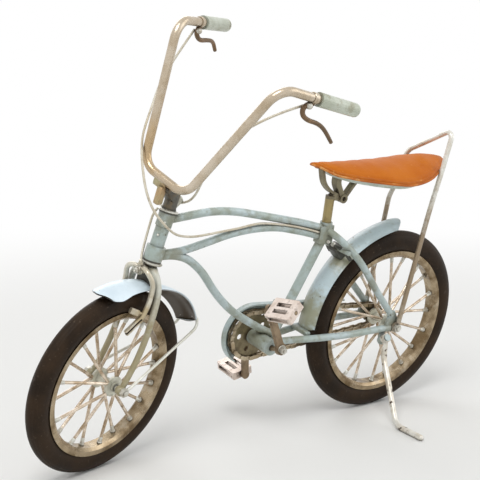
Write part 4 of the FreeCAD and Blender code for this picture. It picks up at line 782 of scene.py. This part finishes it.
def saddleShape(values):
    first, last = values["table"][0][0], values["table"][-1][0]
    ease = 0.5 - 0.5 * np.cos(np.linspace(0, np.pi, values["rows"]))
    x, half, edge, crown = saddleStations(values, first + (last - first) * ease)
    rise = crown - edge
    bend = (half ** 2 + rise ** 2) / (2 * rise)
    reach = np.arctan2(half, bend - rise)
    u = easedSpan(values["columns"])
    turn = reach * u
    away = bend * reach * (1 - np.abs(u))  # distance from the edge over the arch
    room = np.clip(bend * reach / values["rollRoom"], 0, 1)
    hump = {kind: np.exp(-((away - values[kind + "Place"]) / values["rollWidth"]) ** 2) for kind in ("lip", "groove")}
    roll = values["lip"] * hump["lip"] - values["groove"] * hump["groove"]
    wave = values["wave"] * np.sin(x * values["waveTurns"] + values["waveStart"]) * np.sin(turn * values["waveAcross"])
    radius = bend + (roll + wave * np.clip(away / values["waveRoom"], 0, 1)) * room
    top = gridOf(x, radius * np.sin(turn), crown - bend + radius * np.cos(turn))
    v = -u[:, 1:-1]
    belly = gridOf(x, half * v, edge + rise * values["belly"] * (1 - v ** 2))
    grid = np.concatenate([top, belly], 1) + [0, 0, values["waistHeight"]]
    rim = np.concatenate([np.exp(-(away / values["rimReach"]) ** 2) * room, np.ones(v.shape) * room], 1).ravel()
    return outward(closedGrid(onFrame(grid))), np.append(rim, [1.0, 1.0])


def weltShape(values):
    first, last = values["table"][0][0], values["table"][-1][0]
    x, half, edge, crown = saddleStations(values, np.linspace(first, last, values["weltSteps"]))
    left = np.hstack([x, half - values["weltInset"], edge + values["waistHeight"]])
    return loopTube(onFrame(np.vstack([left, left[::-1] * [1, -1, 1]])), values["weltRadius"] * mm)


def trayShape(values, saddle):
    x, half, edge, crown = saddleStations(saddle, np.linspace(*values["reach"], values["rows"]))
    u = easedSpan(values["columns"])
    ends = np.sin(np.linspace(0, np.pi, values["rows"]))[:, None] ** values["endPower"]
    side = half * values["widthShare"] * ends * u
    top = edge + values["rise"] + saddle["waistHeight"]
    floor = top - values["thickness"] - values["drop"] * ends * (1 - u ** values["floorPower"])
    grid = np.concatenate([gridOf(x, side, top), gridOf(x, side, floor)[:, ::-1]], 1)
    return outward(closedGrid(onFrame(grid)))


saddleForm, rimShare = saddleShape(saddleValues)
saddlePiece = makePiece("saddleTop", saddleForm, "saddleHide", "frame", angle=50)
addShares(saddlePiece, "rimShare", rimShare)
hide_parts("saddle")
makePiece("saddleWelt", weltShape(saddleValues), "weltHide", "frame")
trayPiece = makePiece("saddleTray", trayShape(trayValues, saddleValues), "panPaint", "frame", angle=40)
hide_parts("saddle_pan")
print("made the saddle")

# Mudguards: a round section carried round the wheel's centre, its reach and half widths read from a table
# of angles. The ends are rounded in plan, the border is rolled, and the hollow side is marked for its grime and painted
# shade.
guardValues = {"thickness": 0.8, "roll": 0.22, "rollShare": 0.05, "columns": 41}
frontGuardValues = {
    "centre": drawing["frontCentre"], "place": onFork, "start": 75.0, "startRound": 5.0, "end": 161.0, "endRound": 3.0,
    "bend": 8.5, "rows": 76,
    "table": [  # angle, outer radius, left and right half width, tilt
        (70, 48.2, 4.2, 6.0, 0), (76, 48.2, 5.3, 6.8, 0), (80, 48.3, 6.7, 7.5, 0), (84, 48.4, 7.45, 7.2, 0),
        (88, 48.5, 7.45, 6.8, 0), (93, 48.5, 7.0, 6.4, 0), (99, 48.5, 6.6, 6.2, 0), (106, 48.6, 6.1, 5.9, 0),
        (115, 48.9, 5.5, 5.4, 6), (125, 49.9, 5.5, 5.4, 18), (135, 51.3, 5.6, 5.5, 26), (145, 52.5, 5.7, 5.6, 28),
        (154, 53.2, 5.5, 5.4, 26), (162, 53.4, 5.2, 5.2, 24),
    ],
}
rearGuardValues = {
    "centre": drawing["rearCentre"], "place": onFrame, "start": 2.5, "startRound": 1.8, "end": 91.0, "endRound": 6.0,
    "bend": 8.73, "rows": 90,
    "table": [
        (0, 54.8, 6.4, 4.5, 0), (15, 54.8, 6.5, 4.5, 0), (22, 54.8, 6.5, 6.4, 0), (45, 54.8, 6.5, 6.5, 0),
        (60, 54.9, 6.5, 6.5, 0), (75, 55.5, 6.6, 6.6, 0), (92, 56.8, 6.7, 6.7, 0),
    ],
}


def guardSkin(values, angle, u, depth):
    # a point of the section at an angle, a share of the half width and a depth below the outer skin
    row = smoothTable(values["table"], angle)
    side = u * np.where(u > 0, row[..., 1], row[..., 2])
    lean = side / values["bend"]
    level = np.sqrt(1 - lean ** 2)
    fall = values["bend"] * (1 - level) + depth * level
    reach = side - depth * lean
    tilt = np.radians(row[..., 3])
    radial = row[..., 0] - fall * np.cos(tilt) + reach * np.sin(tilt)
    across = reach * np.cos(tilt) + fall * np.sin(tilt)
    turn = np.radians(angle)
    return values["place"](gridOf(radial * np.cos(turn), across, radial * np.sin(turn)) + values["centre"])


def guardShape(values):
    u = easedSpan(guardValues["columns"])
    share = np.linspace(0, 1, values["rows"])[:, None]
    first = values["start"] + values["startRound"] * u ** 2
    last = values["end"] - values["endRound"] * u ** 2
    angle = first + (last - first) * share
    across = u + 0 * share
    rolled = guardValues["roll"] * np.exp(-((1 - np.abs(across)) / guardValues["rollShare"]) ** 2)
    outer = guardSkin(values, angle, across, -rolled)
    inner = guardSkin(values, angle, across, guardValues["thickness"] + 0 * rolled)
    # the inner side is marked 1 for its grime and painted shade
    within = np.concatenate([0 * across, 1 + 0 * across], 1).ravel()
    return outward(closedGrid(np.concatenate([outer, inner[:, ::-1]], 1))), np.append(within, [0.5, 0.5])


def makeGuard(name, values, materialName, body):
    shape, within = guardShape(values)
    piece = makePiece(name, shape, materialName, body, angle=40)
    addShares(piece, "hollowGrimeAndShadeSide", within)
    return piece


frontGuard = makeGuard("frontMudguard", frontGuardValues, "frontGuardLitPaint", "steering")
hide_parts("front_mudguard")
rearGuard = makeGuard("rearMudguard", rearGuardValues, "rearGuardPaint", "frame")
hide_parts("rear_mudguard")
print("made the mudguards")

# Mudguard stays: wires from the front guard's tail, out round a bend and straight down to the axle.
stayValues = {
    "radius": 0.72, "root": 156.0, "rootShare": 0.6, "rootDepth": 0.4, "down": 0.16, "steps": 10,
    "bend": [(-1.6, 0.8, -0.8), (-2.6, 1.8, -3.2), (-1.0, 2.6, -6.2)],  # offsets from the root
    "foot": [(77.8, 12.0, 46.4), (83.0, 11.7, 44.0)],
}


def stayLine(hand):
    angle, share = np.array([stayValues["root"]]), np.array([hand * stayValues["rootShare"]])
    straight = {**frontGuardValues, "place": np.array}
    root = guardSkin(straight, angle, share, stayValues["rootDepth"])[0]
    points = [root, *(root + mirrored(stayValues["bend"], hand))]
    foot = mirrored(stayValues["foot"], hand)
    points += [points[-1] + (foot[0] - points[-1]) * stayValues["down"], *foot]
    return onFork(smoothLine(points, stayValues["steps"]))


for hand, end in ((1, "left"), (-1, "right")):
    stayForm = tubeAlong(stayLine(hand), stayValues["radius"] * mm)
    stay = makePiece(end + "GuardStay", stayForm, "stayMetal", "steering")
    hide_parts(end + "_guard_stay")
print("made the mudguard stays")

barSection = {
    "stations": (0.0, 0.02, 0.06, 0.2, 0.35, 0.5, 0.65, 0.8, 0.94, 0.98, 1.0), "eased": 0.06, "endShare": 0.82,
    "points": 24, "corner": 0.35,
}


def barShape(line, wide, thick):
    # a bar of rounded rectangular section between two places, narrowed a little at its ends
    start, stop = np.array(line[0]), np.array(line[1])
    share = np.array(barSection["stations"])[:, None]
    eased, endShare = barSection["eased"], barSection["endShare"]
    ease = np.interp(share, [0, eased, 1 - eased, 1], [endShare, 1, 1, endShare])
    angle = fullTurn(barSection["points"])
    square = np.stack([np.sign(f) * np.abs(f) ** barSection["corner"] for f in (np.cos(angle), np.sin(angle))], 1)
    way = unitVector(stop - start)
    lift = unitVector(np.cross(way, [0.0, 1.0, 0.0] if abs(way[1]) < 0.95 else [0.0, 0.0, 1.0]))
    ring = square[:, :1] * wide * lift + square[:, 1:] * thick * np.cross(lift, way)
    return outward(closedGrid((start + (stop - start) * share)[:, None] + ring[None] * ease[:, None]))


# Fork: a crown across the foot of the steerer and two slim blades that narrow to the axle.
forkValues = {
    "crown": (65.2, 0.0, 95.15), "top": (55.46, 0.0, 131.47), "steerer": 2.5, "bladeRadius": (1.65, 1.35),
    "crownProfile": [(0.0, -4.6), (1.3, -4.4), (2.1, -3.4), (2.4, 0.0), (2.1, 3.4), (1.3, 4.4), (0.0, 4.6)],
    "blade": [
        (65.4, 2.4, 95.9), (66.4, 5.2, 95.0), (66.7, 7.3, 92.2), (66.6, 8.3, 89.0), (66.9, 8.8, 84.6),
        (68.0, 9.1, 79.4), (69.6, 9.4, 73.2), (71.2, 9.4, 67.0), (74.0, 9.4, 59.5), (78.2, 9.4, 51.6),
        (82.0, 9.4, 45.6),
    ],
    "tip": (83.2, 9.4, 44.0), "tipProfile": [(0.0, -1.5), (2.0, -1.5), (2.4, -1.1), (2.4, 1.1), (2.0, 1.5), (0.0, 1.5)],
}


def forkShape(values):
    levelTurn = axisTurns([(0.0, 1.0, 0.0)])
    top, crown = np.array(values["top"]), np.array(values["crown"])
    shapes = [tubeAlong(crown + (top - crown) * np.linspace(0, 1, 12)[:, None], values["steerer"], 28)]
    shapes.append(stamped(turned(values["crownProfile"], 28), levelTurn, [crown]))
    for hand in (1, -1):
        line = smoothLine(mirrored(values["blade"], hand), 10)
        shapes.append(tubeAlong(line, np.linspace(*values["bladeRadius"], len(line)), 20))
        shapes.append(stamped(turned(values["tipProfile"], 24), levelTurn, [mirrored(values["tip"], hand)]))
    return placed(onFork, joined([outward(shape) for shape in shapes]))


forkPiece = makePiece("forkBlades", forkShape(forkValues), "forkPaint", "steering", angle=45)
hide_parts("fork")
print("made the fork")

# Front caliper: a pivot barrel, two bent arms and a shoe on each, with a dark rubber block inside it.
caliperValues = {
    "pivot": (70.5, 0.0, 96.2),
    "barrel": [(0.0, -2.9), (1.5, -2.9), (1.5, -1.6), (2.2, -1.4), (2.2, 1.4), (1.5, 1.7), (1.5, 2.4), (0.0, 2.4)],
    "arm": [
        (70.8, 0.4, 96.8), (71.3, 3.0, 97.6), (72.0, 6.0, 96.8), (71.0, 8.0, 93.8), (70.4, 8.4, 90.8),
        (70.7, 8.4, 87.4), (71.6, 8.4, 83.2), (73.2, 8.2, 79.2), (74.8, 8.0, 76.6),
    ],
    "armRadius": (1.15, 1.2), "shoe": ((74.6, 7.9, 76.6), (83.0, 7.7, 71.4)), "shoeSize": (0.62, 0.6),
    "barSize": (0.42, 0.85), "barGap": 0.95, "block": ((76.2, 7.2, 79.3), (80.6, 6.4, 81.5)), "blockSize": (1.35, 1.0),
    "pin": ((73.4, 8.1, 78.6), (77.0, 7.1, 79.8)), "pinSize": (0.5, 0.5), "adjuster": (71.0, 0.0, 98.2),
    "adjusterWay": (0.2, 0.0, 1.0), "adjusterProfile": [
        (0.0, -0.6), (0.85, -0.6), (0.85, 0.4), (1.25, 0.5), (1.25, 1.3), (0.8, 1.4), (0.75, 2.6), (0.0, 2.7),
    ],
}


def caliperShape(values):
    adjusterTurn = axisTurns([values["adjusterWay"]])
    shapes = [
        stamped(turned(values["barrel"], 20), axisTurns([(1.0, 0.0, 0.0)]), [values["pivot"]]),
        stamped(turned(values["adjusterProfile"], 12), adjusterTurn, [values["adjuster"]]),
    ]
    pads = []
    for hand in (1, -1):
        arm, shoe, block, pin = (mirrored(values[key], hand) for key in ("arm", "shoe", "block", "pin"))
        line = smoothLine(arm, 10)
        shapes.append(tubeAlong(line, np.linspace(*values["armRadius"], len(line)), 18))
        lift = unitVector(np.cross(shoe[1] - shoe[0], [0.0, 1.0, 0.0])) * values["barGap"]
        bars = (shoe + lift, "bar"), (shoe - lift, "bar"), (block, "block"), (pin, "pin")
        shapes += [barShape(place, *values[kind + "Size"]) for place, kind in bars]
        pads.append(barShape(shoe, *values["shoeSize"]))
    return [placed(onFork, joined(group)) for group in (shapes, pads)]


caliperForm, padForm = caliperShape(caliperValues)
caliper = makePiece("frontCaliper", caliperForm, "caliperMetal", "steering", angle=45)
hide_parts("front_brake")
makePiece("brakePads", padForm, "tyreRubber", "steering", angle=45)
print("made the caliper")

# Brackets and the rear brake: short bars between the guards and what carries them, and its two arms.
bracketValues = {
    "frontClip": ((65.8, 0.0, 94.6), (66.8, 0.0, 88.4)), "frontClipSize": (1.5, 4.6),
    "lowClip": ((-27.6, 6.4, 52.0), (-27.6, -6.4, 52.0)), "lowClipSize": (1.5, 1.1),
    "block": (54.0, 61.6), "blockAngle": 48.0, "blockSize": (2.6, 3.4), "boltReach": 62.4,
    "arm": [(0.0, 61.4), (3.4, 62.4), (6.2, 60.9), (7.7, 57.6), (8.0, 54.2)], "armRadius": 0.95,  # side and reach
}
blockTurn = np.radians(bracketValues["blockAngle"])
blockWay = np.array([np.cos(blockTurn), 0.0, np.sin(blockTurn)])


def alongBlock(reach, side=0.0):
    # a place at a distance from the rear wheel's centre, in the direction of the rear brake
    return np.array(drawing["rearCentre"]) + blockWay * reach + [0.0, side, 0.0]


rearBrake = [barShape([alongBlock(reach) for reach in bracketValues["block"]], *bracketValues["blockSize"])]
for hand in (1, -1):
    arm = [alongBlock(reach, hand * side) for side, reach in bracketValues["arm"]]
    rearBrake.append(tubeAlong(smoothLine(arm), bracketValues["armRadius"]))
frontClip, lowClip = (barShape(bracketValues[key], *bracketValues[key + "Size"]) for key in ("frontClip", "lowClip"))
makePiece("frontGuardClip", placed(onFork, frontClip), "darkMetal", "steering", angle=45)
makePiece("rearCaliper", placed(onFrame, joined(rearBrake)), "darkMetal", "frame", angle=45)
makePiece("rearGuardClip", placed(onFrame, lowClip), "framePaint", "frame", angle=45)
print("made the brackets")

# Stem: a dark column on the fork's head and an olive block that carries the bar from below.
stemValues = {
    "foot": (58.0, 0.0, 121.9), "top": (56.0, 0.0, 129.6), "radius": 3.1,
    "neck": ((56.6, 0.2, 127.6), (62.8, 0.8, 134.4)), "neckSize": (2.7, 2.8),
    "cradle": ((63.4, 2.2, 134.4), (63.4, -4.6, 136.0)), "cradleSize": (2.0, 2.6),
    "lobe": ((65.0, 0.8, 134.0), (65.8, 0.0, 126.0)), "lobeSize": (1.8, 1.5),
    "web": ((50.4, 0.0, 126.2), (55.6, 0.0, 122.6)), "webSize": (1.6, 0.8),
}


def stemShapes(values):
    foot, top = np.array(values["foot"]), np.array(values["top"])
    column = tubeAlong(foot + (top - foot) * np.linspace(0, 1, 8)[:, None], values["radius"], 28)
    kinds = ("neck", "cradle", "lobe", "web")
    neck, cradle, lobe, web = (barShape(values[kind], *values[kind + "Size"]) for kind in kinds)
    return joined([outward(column), neck]), joined([cradle, lobe]), web


for name, shape, materialName, slotName in zip(
    ("stemColumn", "stemCradle", "stemWeb"), stemShapes(stemValues),
    ("stemMetal", "cradleMetal", "forkPaint"), ("dark_metal", "tarnished_metal", "blue_paint"),
):
    stemPiece = makePiece(name, placed(onFork, shape), materialName, "steering", angle=45)
    if name == "stemColumn":
        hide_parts("stem")
print("made the stem")

# Brake levers: a thin band on the bar and a cranked blade that narrows to its tip.
leverValues = {
    "left": {"root": (31.86, 46.68, 182.99), "way": (-0.9605, 0.1643, -0.2241), "line": [
        (31.9, 46.7, 180.9), (34.6, 45.6, 180.2), (36.8, 45.3, 178.4), (36.4, 45.7, 175.6), (33.0, 46.5, 173.5),
        (27.5, 47.5, 172.2), (22.9, 48.5, 169.5), (17.0, 49.5, 163.2),
    ]},
    "right": {"root": (31.87, -20.13, 199.3), "way": (-0.9607, -0.2498, -0.1217), "line": [
        (31.9, -20.0, 197.2), (34.2, -19.0, 196.4), (34.8, -18.8, 194.0), (31.3, -19.5, 191.2), (24.5, -21.0, 190.9),
        (18.5, -22.5, 189.9), (14.9, -23.5, 185.2),
    ]},
    "radius": (1.25, 0.85), "band": [(0.0, -1.3), (2.25, -1.3), (2.45, -1.1), (2.45, 1.1), (2.25, 1.3), (0.0, 1.3)],
}
for end in ("left", "right"):
    values = leverValues[end]
    line = smoothLine(values["line"], 10)
    lever = placed(onFork, outward(tubeAlong(line, np.linspace(*leverValues["radius"], len(line)), 16)))
    leverPiece = makePiece(end + "BrakeLever", lever, "leverMetal", "steering", angle=45)
    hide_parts(end + "_lever")
    band = outward(stamped(turned(leverValues["band"], 28), axisTurns([values["way"]]), [values["root"]]))
    makePiece(end + "LeverBand", placed(onFork, band), "barMetal", "steering", angle=35)
print("made the levers")

# Head rings: bright rims with dark gaps between them and the head tube, turned about the steering axis.
ringProfiles = {
    "headRings": ("ringMetal", "bright_metal", [
        ("headLow", [(0.0, -2.2), (3.6, -2.2), (4.7, -1.9), (5.1, -1.5), (5.1, -1.1), (4.7, -0.8), (0.0, -0.8)]),
        ("headHigh", [(0.0, 0.5), (4.2, 0.5), (4.7, 0.7), (4.8, 1.0), (4.5, 1.3), (3.4, 1.5), (0.0, 1.5)]),
    ]),
    "headGaps": ("darkMetal", "dark_metal", [
        ("headLow", [(0.0, -3.2), (3.0, -3.2), (3.2, -2.1), (3.2, -0.9), (4.2, -0.9), (4.2, 0.2), (0.0, 0.2)]),
        ("headHigh", [(0.0, -0.2), (4.0, -0.2), (4.0, 0.6), (3.3, 0.7), (3.3, 2.2), (0.0, 2.2)]),
    ]),
}
headWay = axisTurns([(-headCosine, 0.0, headSine)])
for name, (materialName, slotName, rings) in ringProfiles.items():
    ringForm = joined([outward(stamped(turned(profile, 40), headWay, [drawing[end]])) for end, profile in rings])
    ringPiece = makePiece(name, placed(onFork, ringForm), materialName, "steering", angle=40)
    if name == "headRings":
        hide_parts("headset_rings")
print("made the head rings")

# Brake cables, smooth along their routes. The rear one crosses the steering and is baked in place, on no body.
frontRoute = onFork([
    (34.6, 45.4, 180.2), (53.5, 29.9, 169.4), (58.6, 18.4, 146.0), (54.1, 12.0, 135.3), (50.7, 7.2, 129.2),
    (49.2, 2.0, 124.4), (52.0, -5.2, 122.4), (57.6, -8.6, 119.4), (61.8, -6.8, 110.5), (65.0, -5.1, 104.6),
    (68.0, -3.1, 100.3), (70.9, 0.2, 98.0),
])
barRoute = onFork([
    (34.6, -20.3, 196.2), (43.6, -27.0, 175.2), (51.0, -24.6, 160.6), (58.4, -20.8, 150.8), (66.6, -12.6, 146.5),
    (69.4, -7.6, 138.9), (71.0, -2.6, 131.2), (70.4, 2.6, 124.0), (65.6, 6.4, 117.8),
])
frameRoute = onFrame([
    (61.0, 6.3, 115.2), (56.6, 5.3, 112.0), (51.2, 4.0, 110.2), (45.0, 2.9, 109.2), (38.0, 1.9, 109.2),
    (30.0, 1.6, 109.8), (19.0, 1.5, 110.7), (12.1, 1.5, 111.8), (6.0, 1.4, 112.1), (-8.0, 1.5, 110.0),
    (-20.0, 1.6, 107.3), (-29.3, 1.7, 104.5),
])
cableRadius = 0.55 * mm
frontLine = nurbsLine(frontRoute)
frontCable = makePiece("frontBrakeCable", tubeAlong(frontLine, cableRadius), "cableSheath", "steering")
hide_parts("front_brake_cable")
rearLine = nurbsLine(np.vstack([barRoute, frameRoute]))
rearCable = makePiece("rearBrakeCable", tubeAlong(rearLine, cableRadius), "cableSheath", None)
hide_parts("bar_cable", "frame_cable")
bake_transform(rearCable)
print("made the cables", round(lengthOf(frontLine), 4), round(lengthOf(rearLine), 4))

# Small fastenings: six-sided heads with a chamfer and a stud, domes and washers, where something is bolted.
fastenerProfiles = {
    "bolt": [(0.0, -0.5), (0.98, -0.5), (1.0, 0.55), (0.86, 0.8), (0.5, 0.82), (0.46, 1.1), (0.3, 1.3), (0.0, 1.34)],
    "dome": [(0.0, -0.5), (1.0, -0.5), (0.98, 0.1), (0.8, 0.5), (0.45, 0.74), (0.0, 0.82)],
    "washer": [(0.0, -0.3), (1.55, -0.3), (1.6, 0.0), (1.5, 0.16), (0.0, 0.18)],
}
fastenerItems = {  # kind, size in mm, place and the way it points
    "frameFastenings": (onFrame, "frame", [
        ("bolt", 1.3, alongBlock(bracketValues["boltReach"]), blockWay), ("bolt", 0.95, (-34.6, 3.2, 99.6), (0, 1, 0)),
        ("dome", 0.62, (63.6, 2.2, 111.6), (0.74, 0.67, 0.2)), ("dome", 0.62, (60.9, 2.9, 117.3), (0.3, 0.95, 0.1)),
    ]),
    "forkFastenings": (onFork, "steering", [
        ("bolt", 1.35, (73.0, 0.0, 96.2), (1, 0, 0)), ("washer", 1.1, (72.5, 0.0, 96.2), (1, 0, 0)),
        ("dome", 1.5, (34.2, 46.9, 179.9), (0, 1, 0)), ("dome", 1.3, (34.2, -17.8, 195.8), (0, 1, 0)),
    ]),
    "crankFastenings": (onFrame, "crank", [
        ("washer", 1.5, (-2.5, 17.4, 52.4), (0, 1, 0)), ("bolt", 1.9, (-2.5, 18.0, 52.4), (0, 1, 0)),
    ]),
}


def setOut(placing, items):
    shapes = []
    origin = placing((0.0, 0.0, 0.0))
    for kind, size, place, way in items:
        form = turned(np.array(fastenerProfiles[kind]) * size * mm, 6 if kind == "bolt" else 16)
        shapes.append(stamped(form, axisTurns([placing(way) - origin]), [placing(place)]))
    return joined(shapes)


for name, (placing, body, items) in fastenerItems.items():
    makePiece(name, setOut(placing, items), "ringMetal", body, angle=35)

# Spoke nipples: a slim cone with a collar on each spoke's outer end.
spokeValues = {
    "profile": [(0.0, 0.0), (1.25, 0.0), (1.25, 0.5), (0.98, 0.8), (0.92, 3.0), (0.78, 3.4), (0.0, 3.4)],
    "count": 20, "flange": 4.8, "flangeSide": 4.65, "lead": 14.0, "rimSide": 0.8,
    "front": (drawing["frontCentre"], 31.3, onFork), "rear": (drawing["rearCentre"], 36.2, onFrame),
}


def nippleShape(end):
    centre, well, placing = spokeValues[end]
    index = np.arange(spokeValues["count"])
    angle = fullTurn(spokeValues["count"])
    hand = np.where(index % 2 == 1, 1.0, -1.0)
    lean = np.radians(np.where(index % 4 < 2, spokeValues["lead"], -spokeValues["lead"]))
    flange = spokeValues["flange"]
    side = spokeValues["flangeSide"] * hand
    root = np.stack([flange * np.cos(angle + lean), side, flange * np.sin(angle + lean)], 1)
    tip = np.stack([well * np.cos(angle), hand * spokeValues["rimSide"], well * np.sin(angle)], 1)
    starts, roots = placing(tip + centre), placing(root + centre)
    return stamped(turned(np.array(spokeValues["profile"]) * mm, 10), axisTurns(roots - starts), starts)


for end in ("front", "rear"):
    makePiece(end + "Nipples", nippleShape(end), "ringMetal", end + "_wheel", angle=35)
print("made the fastenings and nipples")

# Camera, lamps, sky and floor. What light falls on sees the sky dimmer than the camera does.
scene = bpy.context.scene
view = {
    "place": (0.289586, 0.369729, 0.170902), "target": (0.006930, -0.027364, 0.098429), "lens": 75.35, "sensor": 36.0,
}
lampValues = {
    "keyLamp": {"place": (0.55, 0.50, 1.15), "size": 0.6, "power": 8.6},
    "fillLamp": {"place": (-0.9, 0.7, 0.6), "size": 0.9, "power": 3.4},
    "backLamp": {"place": (-0.3, -1.0, 0.8), "size": 0.8, "power": 3.6},
}
stageValues = {
    "lampTarget": (0, 0, 0.08), "skyShare": 0.50, "half": 3.0, "paper": (236, 236, 234), "rough": 0.9,
    "specular": 0.1, "fade": (0.22, 0.85),
}


def setDown(name, data, place, target):
    # an object at a place, turned to look at a target
    thing = bpy.data.objects.new(name, data)
    thing.location = place
    thing.rotation_euler = (Vector(target) - Vector(place)).to_track_quat("-Z", "Y").to_euler()
    scene.collection.objects.link(thing)
    return thing


cameraData = bpy.data.cameras.new("photoCamera")
cameraData.lens = view["lens"]
cameraData.sensor_width = view["sensor"]
cameraData.clip_start = 0.01
scene.camera = setDown("photoCamera", cameraData, view["place"], view["target"])
for name, values in lampValues.items():
    light = bpy.data.lights.new(name, "AREA")
    light.size = values["size"]
    light.energy = values["power"]
    setDown(name, light, values["place"], stageValues["lampTarget"])

world = bpy.data.worlds.new("studio")
world.use_nodes = True
skyTree, skyShare = world.node_tree, stageValues["skyShare"]
sky = skyTree.nodes["Background"]
sky.inputs["Color"].default_value = (1.0, 1.0, 1.0, 1.0)
brightness = mathNode(skyTree, "MULTIPLY_ADD", seenDirectly(skyTree), 1 - skyShare, skyShare)
skyTree.links.new(brightness, sky.inputs["Strength"])
scene.world = world

# The floor is matt paper that fades into the white background away from the bicycle.
half = stageValues["half"]
floorMesh = bpy.data.meshes.new("studioFloor")
floorMesh.from_pydata([(-half, -half, 0), (half, -half, 0), (half, half, 0), (-half, half, 0)], [], [(0, 1, 2, 3)])
floor = bpy.data.objects.new("studioFloor", floorMesh)
floorMaterial = bpy.data.materials.new("floorPaper")
floorMaterial.use_nodes = True
floorTree = floorMaterial.node_tree
paper = floorTree.nodes["Principled BSDF"]
paper.inputs["Base Color"].default_value = linear(*stageValues["paper"])
paper.inputs["Roughness"].default_value = stageValues["rough"]
paper.inputs["Specular IOR Level"].default_value = stageValues["specular"]
away = addNode(floorTree, "ShaderNodeVectorMath", operation="LENGTH")
floorTree.links.new(floorTree.nodes.new("ShaderNodeTexCoord").outputs["Object"], away.inputs[0])
fade = smoothStep(floorTree, away.outputs["Value"], *stageValues["fade"])
glow = addNode(floorTree, "ShaderNodeEmission", in_Color=(1.0, 1.0, 1.0, 1.0))
mixed = floorTree.nodes.new("ShaderNodeMixShader")
shares = (mathNode(floorTree, "MULTIPLY", fade, seenDirectly(floorTree)), paper.outputs[0], glow.outputs[0])
for source, socket in zip(shares, mixed.inputs):
    floorTree.links.new(source, socket)
floorTree.links.new(mixed.outputs[0], floorTree.nodes["Material Output"].inputs["Surface"])
floorMesh.materials.append(floorMaterial)
scene.collection.objects.link(floor)
scene.view_settings.view_transform = "Standard"
print("set the camera, lamps and floor")
